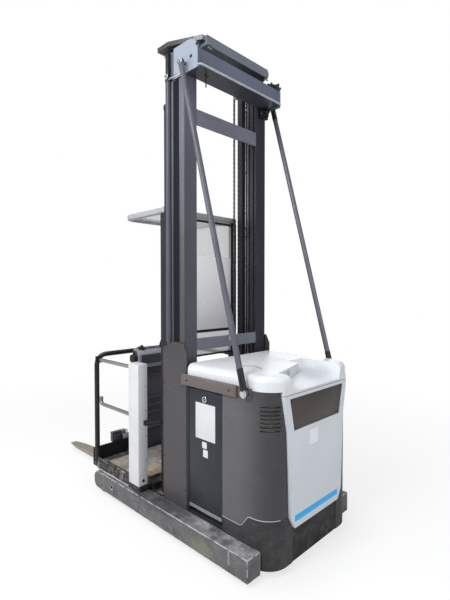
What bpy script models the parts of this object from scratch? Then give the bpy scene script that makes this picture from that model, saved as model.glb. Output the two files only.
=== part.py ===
"""Man-up order picker truck: battery chassis on two wheel legs, two-stage mast with stays, and an
operator cab with an overhead guard and forks that rises on the mast.

Metres, +X towards the forks, +Y to the left, +Z up. The origin is on the floor, midway between
the rear cover and the fork tips. Distances along the truck are measured from its rearmost face.
"""
import math

import bmesh
import bpy
from mathutils import Matrix, Vector

# Overall
LENGTH = 2.88
WIDTH = 1.14
SEAT = 0.0003            # gap between pieces that touch
RUN = 0.008              # gap beside pieces that move
ROLL_GAP = 0.0006        # gap between a mast roller and its track
REAR_X = -LENGTH / 2


def from_rear(distance):
    """World X of a point that lies this far in front of the rearmost face."""
    return REAR_X + distance


# Wheel legs
LEG_OUTER_Y = WIDTH / 2
LEG_WIDTH = 0.115
LEG_INNER_Y = LEG_OUTER_Y - LEG_WIDTH
LEG_TOP_Z = 0.163
LEG_BOTTOM_Z = 0.028
LEG_REAR_X = from_rear(0.100)
LEG_FRONT_X = from_rear(1.840)
LEG_WALL = 0.010
LEG_NOSE_RADIUS = 0.055
LEG_END_BLOCK = 0.150
LEG_HOLE_RADIUS = 0.016

# Load wheels
LOAD_WHEEL_RADIUS = 0.070
LOAD_WHEEL_WIDTH = LEG_WIDTH - 2 * LEG_WALL - 0.017
LOAD_WHEEL_X = LEG_FRONT_X - 0.110
LOAD_PIN_RADIUS = 0.012
PIN_GAP = 0.0005

# Body shell: a plan outline with round rear corners
BODY_HALF = LEG_INNER_Y + 0.005
BODY_REAR_X = from_rear(0.018)
BODY_CORNER_RADIUS = 0.150
SHELL = 0.014
BODY_TOP_Z = 1.100
SKIRT_BOTTOM_Z = 0.045
SEAM_LOW_Z = 0.262       # height of the wavy joint along the side
SEAM_HIGH_Z = 0.340      # and round the corner
SEAM_RAMP = (from_rear(0.180), from_rear(0.260))
JOINT_LINE = 0.004       # the visible gap between two body panels

# Rear cover: half widths at the heights of its edge
COVER_EDGE = ((SEAM_LOW_Z, BODY_HALF - 0.210), (SEAM_HIGH_Z - 0.005, BODY_HALF - 0.168),
              (0.560, BODY_HALF - 0.160), (BODY_TOP_Z - 0.250, BODY_HALF - 0.145),
              (BODY_TOP_Z - 0.028, BODY_HALF - 0.104))
COVER_BACK_X = BODY_REAR_X + SHELL + 0.004
COVER_FLANGE = 0.012
RECESS_Z = (BODY_TOP_Z - 0.245, BODY_TOP_Z - 0.048)
RECESS_HALF = (BODY_HALF - 0.198, BODY_HALF - 0.154)
RECESS_DEPTH = 0.008

# Louvres round the rear corners
LOUVRE_COUNT = 7
LOUVRE_LOW_Z = BODY_TOP_Z - 0.234
LOUVRE_PITCH = 0.0235
LOUVRE_HEIGHT = 0.009
LOUVRE_ANGLES = (112, 160)

# Chassis frame
CHASSIS_HALF = LEG_INNER_Y - SEAT
CHASSIS_FRONT_X = from_rear(1.045)
BASE_BOTTOM_Z = 0.118
BASE_TOP_Z = LEG_TOP_Z
UNDER_BEAM_Z = 0.055
BULKHEAD = 0.012
REAR_BULKHEAD_X = from_rear(0.385)
FRONT_BULKHEAD_X = from_rear(0.748)
BULKHEAD_TOP_Z = BODY_TOP_Z - 0.080
RAIL_HEIGHT = 0.040

# Drive unit
DRIVE_X = from_rear(0.225)
DRIVE_WHEEL_RADIUS = 0.125
DRIVE_WHEEL_WIDTH = 0.090
DRIVE_BAY_RADIUS = 0.150
DRIVE_PIN_RADIUS = 0.018
BRIDGE_Z = 0.345
BRIDGE_THICK = 0.014
BRIDGE_HALF = 0.215
BRIDGE_REAR_X = from_rear(0.070)
TURNTABLE_RADIUS = 0.125
TURNTABLE_THICK = 0.026
MOTOR_RADIUS = 0.095
MOTOR_HEIGHT = 0.36

# Battery doors
DOOR_GAP = 0.006
DOOR_REAR_X = from_rear(0.415)
DOOR_FRONT_X = from_rear(0.728)
DOOR_BOTTOM_Z = 0.215
DOOR_TOP_Z = BODY_TOP_Z - 0.070
DOOR_THICK = 0.022
DOOR_PIN_RADIUS = 0.004
DOOR_AXIS_Y = BODY_HALF - DOOR_THICK - 0.014
DOOR_AXIS_Z = DOOR_BOTTOM_Z + 0.013
DOOR_EAR = 0.018
DOOR_EAR_INSET = 0.045
DOOR_LUG = 0.008
LOCK_RADIUS = 0.022
LOCK_DROP = 0.055

# Battery
BATTERY_HALF_Y = DOOR_AXIS_Y - 0.031
BATTERY_TOP_Z = BODY_TOP_Z - 0.150

# Side bars and stays
BAR_REAR_X = from_rear(0.270)
BAR_FRONT_X = from_rear(0.790)
BAR_BOTTOM_Z = BODY_TOP_Z - 0.055
BAR_TOP_Z = BODY_TOP_Z + 0.018
BAR_THICK = 0.024
STAY_Y = BODY_HALF + 0.032
STAY_RADIUS = 0.019
STAY_EYE_RADIUS = 0.024
STAY_EYE_WIDTH = 0.022
STAY_PIN_RADIUS = 0.011
LUG_RADIUS = 0.030

# Hood, with the scoop behind its handle
HOOD_GAP_X = 0.004
HOOD_FRONT_X = from_rear(0.748)
HOOD_HALF = BODY_HALF - 0.005
HOOD_TOP_Z = BODY_TOP_Z + 0.090
HOOD_SKIN = 0.014
HOOD_ROUND = 0.042
HOOD_LIP_Z = COVER_EDGE[-1][0] + 0.003
HOOD_HINGE = (HOOD_FRONT_X - 0.006, HOOD_TOP_Z - 0.010)
SCOOP_HALF = (BODY_HALF - 0.160, BODY_HALF - 0.198)     # at its top and at its floor
SCOOP_FLOOR = ((-0.050, BODY_TOP_Z - 0.014), (0.020, BODY_TOP_Z - 0.012), (0.110, BODY_TOP_Z + 0.004),
               (0.200, BODY_TOP_Z + 0.028), (0.270, BODY_TOP_Z + 0.060), (0.335, BODY_TOP_Z + 0.098))
SCOOP_WALL = 0.045
SCOOP_PAN_X = from_rear(0.160)
HANDLE_EDGE = ((0.098, SCOOP_HALF[0]), (0.215, -0.090), (0.400, -0.120))
POCKET_SIZE = (0.036, 0.150, 0.040)
POCKET_PLACE = 0.36      # share of the way along the handle's edge
POCKET_DROP = 0.036
GROOVE_COUNT = 8
GROOVE_PITCH = 0.042
GROOVE_SPAN = (from_rear(0.360), from_rear(0.700))
GROOVE = 0.004

# Mast: outer uprights are channels open to the middle, and the inner beams nest inside them
MAST_REAR_X = from_rear(0.800)
OUTER_DEPTH = 0.205
OUTER_HALF = BODY_HALF - 0.030
OUTER_FLANGE_WIDTH = 0.106
OUTER_FLANGE = 0.022
NEST_GAP = 0.0055        # between the flanges of the two beams
OUTER_WEB = 0.014
OUTER_TOP_Z = 3.375
INNER_REAR_X = MAST_REAR_X + OUTER_FLANGE + NEST_GAP
INNER_DEPTH = OUTER_DEPTH - 2 * (OUTER_FLANGE + NEST_GAP)
INNER_FLANGE_WIDTH = 0.088
INNER_FLANGE = 0.030
INNER_WEB = 0.013
INNER_BOTTOM_Z = LEG_TOP_Z + 0.037
INNER_TOP_Z = OUTER_TOP_Z + 0.025
MAST_SIDE_GAP = 0.016    # between the inner beam and the outer web
MAST_STROKE = 2.400
CROSSBAR_THICK = 0.016
CROSSBARS = (("mast_crossbar_upper", OUTER_TOP_Z - 0.510, 0.105), ("mast_crossbar_lower", 1.260, 0.085))
INNER_BAR_Z = INNER_TOP_Z - 0.525
INNER_BAR_HEIGHT = 0.080
INNER_BAR_THICK = 0.012
ROLLER_HEIGHTS = (0.100, 0.500)
TOP_ROLLER_DROP = 0.100

# Mast head
CHEEK_THICK = 0.018
CHEEK_REAR_X = MAST_REAR_X - 0.150
CHEEK_FRONT_X = MAST_REAR_X + 0.100
CHEEK_ROUND = 0.090
CHEEK_BOTTOM_Z = OUTER_TOP_Z - 0.210
HEAD_REAR_X = MAST_REAR_X - 0.140
HEAD_TOP_Z = OUTER_TOP_Z - 0.075
HEAD_BOTTOM_Z = HEAD_TOP_Z - 0.110
HEAD_PLATE = 0.022
HEAD_LIP = 0.014
HEAD_LIP_REACH = 0.028
HEAD_LIP_ROUND = 0.030
SLAB_THICK = 0.032
SLAB_REAR_X = MAST_REAR_X - 0.100
SLAB_FRONT_X = MAST_REAR_X + 0.258
SLAB_HALF = OUTER_HALF + 0.040
SLAB_TAPER = (0.240, 0.112)                   # how far its rear outer corner is cut, along X and along Y
INNER_HEAD_REAR_X = MAST_REAR_X - 0.115
INNER_HEAD_DEPTH = 0.070
STAY_FOOT = (BAR_REAR_X - 0.076, BODY_TOP_Z - 0.016)
STAY_HEAD = (MAST_REAR_X - 0.030, OUTER_TOP_Z - 0.150)

# Lift cylinders and chains
CYLINDER_RADIUS = 0.027
CYLINDER_X = MAST_REAR_X + OUTER_DEPTH + CYLINDER_RADIUS + SEAT
CYLINDER_BORE = 0.021
CYLINDER_TOP_Z = OUTER_TOP_Z - 0.335
CYLINDER_FLOOR = 0.287
ROD_RADIUS = 0.015
CHAIN_WHEEL_RADIUS = 0.026
CHAIN_THICK = 0.012
CHAIN_WIDTH = 0.020
CHAIN_REAR_END_Z = 0.450

# Mast covers beside the uprights
COVER_THICK = 0.010
COVER_REAR_X = from_rear(0.762)
COVER_FRONT_X = from_rear(1.022)
COVER_TOP_Z = 1.318
COVER_CREASE_X = from_rear(0.870)
SPACER_HEIGHTS = (0.400, 1.150)
SPACER = 0.045

# Cab
CAB_HALF = LEG_OUTER_Y - 0.022
CAB_REAR_X = from_rear(1.085)
CAB_FRONT_X = from_rear(1.885)
DECK_REAR_X = from_rear(1.270)
DECK_TOP_Z = LEG_TOP_Z + 0.049
DECK_THICK = 0.030
DECK_SHEET = 0.012
DECK_BOX_BOTTOM_Z = 0.075
DECK_BOX_TOP_Z = LEG_TOP_Z - 0.013
DECK_BOX_HALF = LEG_INNER_Y - 0.025
DECK_BOX_FRONT_X = CAB_FRONT_X - 0.020
BOARD_THICK = 0.008
BOARD_TOP_Z = DECK_TOP_Z + 0.056
BOARD_BOTTOM_Z = LEG_TOP_Z + RUN
BOARD_HOLES = 4
BOARD_HOLE_RADIUS = 0.011
MAT_THICK = 0.010
TOE_BOARD_TOP_Z = 0.330
PILLAR_HALF = OUTER_HALF - 0.035
PILLAR_WIDTH = 0.050
PILLAR_DEPTH = 0.050
BRACE_Z = 0.690
BRACE_RADIUS = 0.011
GUARD_BOTTOM_Z = 2.272
GUARD_TOP_Z = GUARD_BOTTOM_Z + 0.042
GUARD_FRONT_X = from_rear(1.665)
GUARD_RIM = 0.040
GUARD_ROUND = 0.120
PANE_THICK = 0.010
PANE_DROP = 0.022
SCREEN_THICK = 0.008
CARRIAGE_PLATE = 0.015
CARRIAGE_TOP_Z = 0.930
CARRIAGE_BOTTOM_Z = 0.300
CARRIAGE_WINDOW = 0.120
CARRIAGE_ROLLER_INSET = 0.070
SCREEN_BOTTOM_Z = CARRIAGE_TOP_Z + 0.220
POST_REAR_X = from_rear(1.200)
POST_FRONT_X = from_rear(1.335)
POST_INNER_Y = CAB_HALF - 0.078
POST_OUTER_Y = CAB_HALF + 0.006
POST_TOP_Z = 1.135
POST_WALL = 0.008
RAIL_RADIUS = 0.021
RAIL_TOP_Z = POST_TOP_Z
RAIL_BEND = 0.085
CONSOLE_HALF = 0.175
CONSOLE_REAR_X = from_rear(1.745)
CONSOLE_BOTTOM_Z = 0.985
CONSOLE_TOP_Z = CONSOLE_BOTTOM_Z + 0.175
COLUMN_HALF = 0.165
COLUMN_REAR_X = from_rear(1.800)
COLUMN_RIBS = (0.400, 0.540, 0.610, 0.680, 0.900)
COLUMN_RIB = 0.014

# Gates
GATE_PIVOT = (POST_REAR_X + 0.068, CAB_HALF - 0.026)
GATE_BAR_TOP_Z = POST_TOP_Z - 0.037
GATE_BAR_MID_Z = 0.725
GATE_BAR_RADIUS = 0.015
GATE_SHAFT_RADIUS = 0.011
GATE_REACH_X = CAB_FRONT_X - 0.085
GATE_CURL = 0.060

# Forks
FORK_CARRIAGE_X = CAB_FRONT_X + 0.012
FORK_PLATE = 0.030
FORK_THICK = 0.038
FORK_WIDTH = 0.100
FORK_OUTER_Y = 0.305
FORK_BOTTOM_Z = 0.040
FORK_SHANK_TOP_Z = 0.400
FORK_TIP_X = REAR_X + LENGTH
FORK_TAPER = 0.350
FORK_TIP_WIDTH = 0.060

# Shared places that follow from the sizes above
COLLECTION = "order_picker"
OUTER_INNER_Y = OUTER_HALF - OUTER_FLANGE_WIDTH
INNER_HALF = OUTER_HALF - OUTER_WEB - MAST_SIDE_GAP
INNER_INNER_Y = INNER_HALF - INNER_FLANGE_WIDTH
OUTER_WEB_Y = OUTER_HALF - OUTER_WEB / 2
INNER_WEB_Y = INNER_HALF - INNER_FLANGE_WIDTH / 2
OUTER_MID_X = MAST_REAR_X + OUTER_DEPTH / 2
INNER_MID_X = INNER_REAR_X + INNER_DEPTH / 2
INNER_ROLLER_RADIUS = OUTER_DEPTH / 2 - OUTER_FLANGE - ROLL_GAP
CAB_ROLLER_RADIUS = INNER_DEPTH / 2 - INNER_FLANGE - ROLL_GAP
SLAB_BOTTOM_Z = INNER_TOP_Z
SLAB_TOP_Z = INNER_TOP_Z + SLAB_THICK
CYLINDER_Y = OUTER_HALF - CYLINDER_RADIUS - 0.003
CHAIN_WHEEL_X = MAST_REAR_X + OUTER_DEPTH + RUN + CHAIN_WHEEL_RADIUS + CHAIN_THICK / 2
CHAIN_WHEEL_Z = SLAB_BOTTOM_Z - CHAIN_WHEEL_RADIUS - 0.030
CARRIAGE_HALF = INNER_INNER_Y - 0.040
CHAIN_Y = CYLINDER_Y - CYLINDER_RADIUS - 0.013 - CHAIN_WIDTH / 2
CARRIAGE_REAR_X = INNER_REAR_X + 0.024
DOOR_EAR_XS = (DOOR_REAR_X + DOOR_EAR_INSET, DOOR_FRONT_X - DOOR_EAR_INSET)

PAINT = {
    "chassis": ((0.055, 0.056, 0.062), 0.45, 0.0),
    "mast": ((0.060, 0.062, 0.070), 0.40, 0.2),
    "steel": ((0.45, 0.44, 0.42), 0.35, 1.0),
    "white": ((0.72, 0.73, 0.74), 0.40, 0.0),
    "black": ((0.015, 0.015, 0.017), 0.50, 0.0),
    "bar": ((0.11, 0.095, 0.085), 0.50, 0.0),
    "door": ((0.045, 0.052, 0.062), 0.45, 0.0),
    "mat": ((0.30, 0.24, 0.18), 0.85, 0.0),
    "tyre": ((0.10, 0.06, 0.03), 0.60, 0.0),
    "glass": ((0.75, 0.80, 0.80), 0.10, 0.0),
    "fork": ((0.33, 0.29, 0.22), 0.55, 0.6),
    "battery": ((0.09, 0.09, 0.09), 0.60, 0.0),
    "console": ((0.13, 0.13, 0.15), 0.50, 0.0),
}


def start_scene():
    """Empty the scene and make the collections for the parts and for the cutters."""
    for item in list(bpy.data.objects):
        bpy.data.objects.remove(item, do_unlink=True)
    for name in (COLLECTION, "cutters"):
        group = bpy.data.collections.new(name)
        bpy.context.scene.collection.children.link(group)


def paint(name):
    """A Principled material of one of the colours in the table."""
    found = bpy.data.materials.get(name)
    if found:
        return found
    colour, roughness, metallic = PAINT[name]
    material = bpy.data.materials.new(name)
    material.use_nodes = True
    shader = material.node_tree.nodes["Principled BSDF"]
    shader.inputs["Base Color"].default_value = (*colour, 1.0)
    shader.inputs["Roughness"].default_value = roughness
    shader.inputs["Metallic"].default_value = metallic
    return material


def keep(obj, colour):
    """Make the object a part of the truck, with its colour."""
    for group in list(obj.users_collection):
        group.objects.unlink(obj)
    bpy.data.collections[COLLECTION].objects.link(obj)
    obj.data.materials.clear()
    obj.data.materials.append(paint(colour))
    return obj


def as_cutter(obj):
    """Put a helper solid out of sight."""
    for group in list(obj.users_collection):
        group.objects.unlink(obj)
    bpy.data.collections["cutters"].objects.link(obj)
    obj.hide_render = True
    obj.display_type = "WIRE"
    return obj


def mesh_object(name, shape, centre=(0, 0, 0)):
    """A new object from a bmesh, which is freed."""
    mesh = bpy.data.meshes.new(name)
    shape.to_mesh(mesh)
    shape.free()
    obj = bpy.data.objects.new(name, mesh)
    obj.location = centre
    bpy.context.scene.collection.objects.link(obj)
    return obj


def box(name, low, high, bevel=0.0, segments=2):
    """A box between two corners, with rounded edges if a bevel is given."""
    low, high = Vector(low), Vector(high)
    shape = bmesh.new()
    bmesh.ops.create_cube(shape, size=1.0)
    bmesh.ops.scale(shape, vec=high - low, verts=shape.verts)
    obj = mesh_object(name, shape, (low + high) / 2)
    if bevel:
        modifier = obj.modifiers.new("edges", "BEVEL")
        modifier.width = bevel
        modifier.segments = segments
    return obj


def cylinder(name, centre, axis, radius, length, sides=32):
    """A cylinder about a world axis, its middle at the centre."""
    shape = bmesh.new()
    bmesh.ops.create_cone(shape, cap_ends=True, segments=sides, radius1=radius, radius2=radius,
                          depth=length)
    turn = Vector((0, 0, 1)).rotation_difference(Vector(axis)).to_matrix().to_4x4()
    bmesh.ops.transform(shape, matrix=turn, verts=shape.verts)
    obj = mesh_object(name, shape, centre)
    obj.data.shade_smooth()
    obj.data.set_sharp_from_angle(angle=math.radians(35))
    return obj


def ring(name, centre, outline, steps=48):
    """A wheel about the Y axis, turned from an outline of (radius, offset along Y) points.

    The outline runs round the section once, and its outer side is passed towards -Y."""
    shape = bmesh.new()
    count = len(outline)
    rows = []
    for step in range(steps):
        angle = 2 * math.pi * step / steps
        rows.append([shape.verts.new((r * math.cos(angle), y, r * math.sin(angle)))
                     for r, y in outline])
    for step in range(steps):
        near, far = rows[step], rows[(step + 1) % steps]
        for i in range(count):
            j = (i + 1) % count
            shape.faces.new((near[i], near[j], far[j], far[i]))
    bmesh.ops.recalc_face_normals(shape, faces=shape.faces)
    obj = mesh_object(name, shape, centre)
    obj.data.shade_smooth()
    obj.data.set_sharp_from_angle(angle=math.radians(35))
    return obj


def plate(name, outline, plane, start, thickness, bevel=0.0):
    """A flat outline in the XZ, XY or YZ plane, made solid from start along the third axis."""
    places = {
        "XZ": lambda a, b, c: (a, c, b),
        "XY": lambda a, b, c: (a, b, c),
        "YZ": lambda a, b, c: (c, a, b),
    }
    place = places[plane]
    shape = bmesh.new()
    face = shape.faces.new([shape.verts.new(place(a, b, start)) for a, b in outline])
    grown = bmesh.ops.extrude_face_region(shape, geom=[face])
    moved = [v for v in grown["geom"] if isinstance(v, bmesh.types.BMVert)]
    bmesh.ops.translate(shape, vec=Vector(place(0, 0, thickness)), verts=moved)
    bmesh.ops.recalc_face_normals(shape, faces=shape.faces)
    obj = mesh_object(name, shape)
    if bevel:
        modifier = obj.modifiers.new("edges", "BEVEL")
        modifier.width = bevel
        modifier.segments = 2
    return obj


def tube(name, points, radius, sides=3):
    """A round bar along points, as a closed mesh."""
    curve = bpy.data.curves.new(name, "CURVE")
    curve.dimensions = "3D"
    curve.bevel_depth = radius
    curve.bevel_resolution = sides
    curve.use_fill_caps = True
    spline = curve.splines.new("POLY")
    spline.points.add(len(points) - 1)
    for point, place in zip(spline.points, points):
        point.co = (*place, 1.0)
    source = bpy.data.objects.new(name + "_line", curve)
    bpy.context.scene.collection.objects.link(source)
    graph = bpy.context.evaluated_depsgraph_get()
    mesh = bpy.data.meshes.new_from_object(source.evaluated_get(graph))
    shape = bmesh.new()
    shape.from_mesh(mesh)
    bmesh.ops.remove_doubles(shape, verts=shape.verts, dist=0.00001)
    bmesh.ops.recalc_face_normals(shape, faces=shape.faces)
    shape.to_mesh(mesh)
    shape.free()
    mesh.name = name
    obj = bpy.data.objects.new(name, mesh)
    obj.matrix_world = source.matrix_world
    bpy.context.scene.collection.objects.link(obj)
    bpy.data.objects.remove(source, do_unlink=True)
    mesh.shade_smooth()
    mesh.set_sharp_from_angle(angle=math.radians(50))
    return obj


def bent(corners, radius, steps=5):
    """Points along straight runs whose corners are rounded with the radius."""
    corners = [Vector(c) for c in corners]
    points = [corners[0]]
    for before, here, after in zip(corners, corners[1:], corners[2:]):
        into = (here - before).normalized()
        out = (after - here).normalized()
        turn = into.angle(out)
        reach = radius * math.tan(turn / 2)
        start = here - into * reach
        side = (out - into * into.dot(out)).normalized()
        middle = start + side * radius
        for step in range(steps + 1):
            angle = turn * step / steps
            points.append(middle + into * radius * math.sin(angle) - side * radius * math.cos(angle))
    points.append(corners[-1])
    return points


def arc(centre, radius, first, last, steps):
    """Points on an arc between two angles in degrees."""
    points = []
    for step in range(steps + 1):
        angle = math.radians(first + (last - first) * step / steps)
        points.append((centre[0] + radius * math.cos(angle), centre[1] + radius * math.sin(angle)))
    return points


def boolean(obj, operand, operation):
    modifier = obj.modifiers.new(operation.lower(), "BOOLEAN")
    modifier.operation = operation
    modifier.solver = "EXACT"
    modifier.object = as_cutter(operand)
    return obj


def cut(obj, *cutters):
    """Take the cutters' shapes out of the object."""
    for item in cutters:
        boolean(obj, item, "DIFFERENCE")
    return obj


def weld(obj, *pieces):
    """Join the pieces to the object as one solid."""
    for item in pieces:
        boolean(obj, item, "UNION")
    return obj


def fixed_to(obj, pivot_name, pivot):
    """Hang a moving piece on an empty that stands on its joint axis."""
    empty = bpy.data.objects.get(pivot_name)
    if empty is None:
        empty = bpy.data.objects.new(pivot_name, None)
        empty.location = pivot
        bpy.context.scene.collection.objects.link(empty)
    obj.parent = empty
    obj.matrix_parent_inverse = Matrix.Translation(-Vector(pivot))
    return obj


SIDES = (("left", 1), ("right", -1))


def y_span(side, inner, outer):
    """The low and high Y of a range that is given outwards from the middle."""
    return (inner, outer) if side > 0 else (-outer, -inner)


def side_box(name, side, x, y, z, bevel=0.0):
    """A box on one side of the truck: its Y range counts outwards from the middle."""
    low_y, high_y = y_span(side, *y)
    return box(name, (x[0], low_y, z[0]), (x[1], high_y, z[1]), bevel)


def legs():
    """The two wheel legs: folded channels, open below, with a round nose and an end block."""
    for label, side in SIDES:
        low_y, high_y = y_span(side, LEG_INNER_Y, LEG_OUTER_Y)
        r = LEG_NOSE_RADIUS
        outline = [(LEG_REAR_X, LEG_BOTTOM_Z)]
        outline += arc((LEG_FRONT_X - r, LEG_BOTTOM_Z + r), r, -90, 0, 4)
        outline += arc((LEG_FRONT_X - r, LEG_TOP_Z - r), r, 0, 90, 4)
        outline.append((LEG_REAR_X, LEG_TOP_Z))
        leg = plate("support_leg_" + label, outline, "XZ", low_y, high_y - low_y)
        pocket = box("pocket", (LEG_REAR_X + LEG_END_BLOCK, low_y + LEG_WALL, LEG_BOTTOM_Z - 0.05),
                     (LEG_FRONT_X - LEG_WALL * 2, high_y - LEG_WALL, LEG_TOP_Z - LEG_WALL))
        pin = cylinder("pin", (LOAD_WHEEL_X, (low_y + high_y) / 2, LOAD_WHEEL_RADIUS), (0, 1, 0),
                       LOAD_PIN_RADIUS, LEG_WIDTH - LEG_WALL, 16)
        hole = cylinder("jack_hole", (LEG_FRONT_X - LEG_NOSE_RADIUS * 5, high_y if side > 0 else low_y,
                        (LEG_BOTTOM_Z + LEG_TOP_Z) / 2), (0, 1, 0), LEG_HOLE_RADIUS, LEG_WALL * 3, 20)
        seam = side_box("block_seam", side,
                        (LEG_REAR_X + LEG_END_BLOCK - JOINT_LINE, LEG_REAR_X + LEG_END_BLOCK),
                        (LEG_OUTER_Y - 0.003, LEG_OUTER_Y + 0.01), (LEG_BOTTOM_Z - 0.01, LEG_TOP_Z + 0.01))
        cut(leg, pocket, hole, seam)
        weld(leg, pin)
        keep(leg, "chassis")


def load_wheels():
    """Solid load wheels that turn on the pins in the legs."""
    half = LOAD_WHEEL_WIDTH / 2
    bore = LOAD_PIN_RADIUS + PIN_GAP
    outline = [(bore, -half), (LOAD_WHEEL_RADIUS - 0.006, -half), (LOAD_WHEEL_RADIUS, -half + 0.006),
               (LOAD_WHEEL_RADIUS, half - 0.006), (LOAD_WHEEL_RADIUS - 0.006, half), (bore, half)]
    for label, side in SIDES:
        place = (LOAD_WHEEL_X, side * (LEG_OUTER_Y - LEG_WIDTH / 2), LOAD_WHEEL_RADIUS)
        keep(ring("load_wheel_" + label, place, outline), "tyre")


def chassis():
    """The welded frame: base plate with the drive bay, two bulkheads, rails and the motor bridge."""
    plan = body_line(1, SHELL + SEAT, REAR_BULKHEAD_X, 0.0)[:-1]
    plan += [(x, -y) for x, y in reversed(plan)]
    frame = plate("chassis_frame", plan, "XY", BASE_BOTTOM_Z, BASE_TOP_Z - BASE_BOTTOM_Z)
    base = box("base", (BODY_REAR_X + BODY_CORNER_RADIUS, -CHASSIS_HALF, BASE_BOTTOM_Z),
               (CHASSIS_FRONT_X, CHASSIS_HALF, BASE_TOP_Z))
    rear_wall = box("rear_wall", (REAR_BULKHEAD_X, -BODY_HALF + SHELL + SEAT, BASE_TOP_Z - 0.01),
                    (REAR_BULKHEAD_X + BULKHEAD, BODY_HALF - SHELL - SEAT, BULKHEAD_TOP_Z))
    front_wall = box("front_wall", (FRONT_BULKHEAD_X, -CHASSIS_HALF + 0.02, BASE_TOP_Z - 0.01),
                     (FRONT_BULKHEAD_X + BULKHEAD, CHASSIS_HALF - 0.02, BULKHEAD_TOP_Z))
    rails = [side_box("rail", side, (REAR_BULKHEAD_X, FRONT_BULKHEAD_X + BULKHEAD),
                      (BATTERY_HALF_Y + 0.010, BODY_HALF - DOOR_THICK - 0.010),
                      (BULKHEAD_TOP_Z - RAIL_HEIGHT, BULKHEAD_TOP_Z)) for _, side in SIDES]
    under = box("under_beam", (MAST_REAR_X - 0.030, -CHASSIS_HALF, UNDER_BEAM_Z),
                (CHASSIS_FRONT_X, CHASSIS_HALF, BASE_BOTTOM_Z + 0.01))
    bridge = box("bridge", (BRIDGE_REAR_X, -BRIDGE_HALF, BRIDGE_Z),
                 (REAR_BULKHEAD_X + 0.005, BRIDGE_HALF, BRIDGE_Z + BRIDGE_THICK))
    cheeks = [side_box("bridge_cheek", side, (BRIDGE_REAR_X, REAR_BULKHEAD_X + 0.005),
                       (BRIDGE_HALF - 0.012, BRIDGE_HALF + 0.004), (BASE_TOP_Z - 0.01, BRIDGE_Z + 0.010))
              for _, side in SIDES]
    lugs = []
    for _, side in SIDES:
        for x in DOOR_EAR_XS:
            foot_y, arm_y = BATTERY_HALF_Y + 0.002, DOOR_AXIS_Y + DOOR_LUG
            outline = [(foot_y, BASE_TOP_Z - 0.010), (foot_y + 0.010, BASE_TOP_Z - 0.010),
                       (foot_y + 0.010, DOOR_AXIS_Z - DOOR_LUG), (arm_y, DOOR_AXIS_Z - DOOR_LUG),
                       (arm_y, DOOR_AXIS_Z + DOOR_LUG), (foot_y, DOOR_AXIS_Z + DOOR_LUG)]
            outline = [(side * y, z) for y, z in outline]
            lugs.append(plate("door_lug", outline, "YZ", x + DOOR_EAR / 2 + 0.001, DOOR_LUG))
            lugs.append(cylinder("door_pin", (x, side * DOOR_AXIS_Y, DOOR_AXIS_Z), (1, 0, 0),
                                 DOOR_PIN_RADIUS, DOOR_EAR + 0.010, 16))
    bay = cylinder("bay", (DRIVE_X, 0, BASE_TOP_Z), (0, 0, 1), DRIVE_BAY_RADIUS, 0.14, 48)
    weld(frame, base, rear_wall, front_wall, *rails, under, bridge, *cheeks, *lugs)
    cut(frame, bay)
    keep(frame, "chassis")


def drive_unit():
    """The steered drive wheel, the yoke that carries it, and the motor above."""
    top = BRIDGE_Z - SEAT
    yoke = cylinder("steer_yoke", (DRIVE_X, 0, top - TURNTABLE_THICK / 2), (0, 0, 1),
                    TURNTABLE_RADIUS, TURNTABLE_THICK, 40)
    arm_y = DRIVE_WHEEL_WIDTH / 2 + RUN
    arm = box("arm", (DRIVE_X - 0.055, arm_y, DRIVE_WHEEL_RADIUS - 0.045),
              (DRIVE_X + 0.055, arm_y + 0.042, top - TURNTABLE_THICK / 2), 0.012)
    pin = cylinder("axle", (DRIVE_X, arm_y - 0.045, DRIVE_WHEEL_RADIUS), (0, 1, 0),
                   DRIVE_PIN_RADIUS, 0.11, 20)
    weld(yoke, arm, pin)
    keep(yoke, "steel")
    fixed_to(yoke, "steering_axis", (DRIVE_X, 0, 0))

    half = DRIVE_WHEEL_WIDTH / 2
    bore = DRIVE_PIN_RADIUS + PIN_GAP
    dish = DRIVE_WHEEL_RADIUS * 0.62
    outline = [(bore, -half + 0.012), (dish, -half + 0.012), (dish + 0.01, -half),
               (DRIVE_WHEEL_RADIUS - 0.008, -half), (DRIVE_WHEEL_RADIUS, -half + 0.010),
               (DRIVE_WHEEL_RADIUS, half - 0.010), (DRIVE_WHEEL_RADIUS - 0.008, half),
               (bore, half)]
    wheel = ring("drive_wheel", (DRIVE_X, 0, DRIVE_WHEEL_RADIUS), outline)
    keep(wheel, "tyre")

    motor_z = BRIDGE_Z + BRIDGE_THICK + SEAT
    motor = cylinder("drive_motor", (DRIVE_X, 0, motor_z + MOTOR_HEIGHT / 2), (0, 0, 1),
                     MOTOR_RADIUS, MOTOR_HEIGHT, 32)
    keep(motor, "battery")


def battery():
    """The heavy traction battery, one plain block on the base plate."""
    block = box("battery", (REAR_BULKHEAD_X + BULKHEAD + 0.006, -BATTERY_HALF_Y, BASE_TOP_Z + SEAT),
                (FRONT_BULKHEAD_X - 0.006, BATTERY_HALF_Y, BATTERY_TOP_Z), 0.006)
    keep(block, "battery")


def body_line(side, offset, start_x, end_y, steps=10):
    """Plan points along the body side, round the rear corner and along the rear face."""
    r = BODY_CORNER_RADIUS - offset
    half = BODY_HALF - offset
    centre = (BODY_REAR_X + BODY_CORNER_RADIUS, BODY_HALF - BODY_CORNER_RADIUS)
    points = [(start_x, half)] + arc(centre, r, 90, 180, steps)
    if end_y < centre[1] - 0.0005:
        points.append((BODY_REAR_X + offset, end_y))
    return [(x, side * y) for x, y in points]


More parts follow.
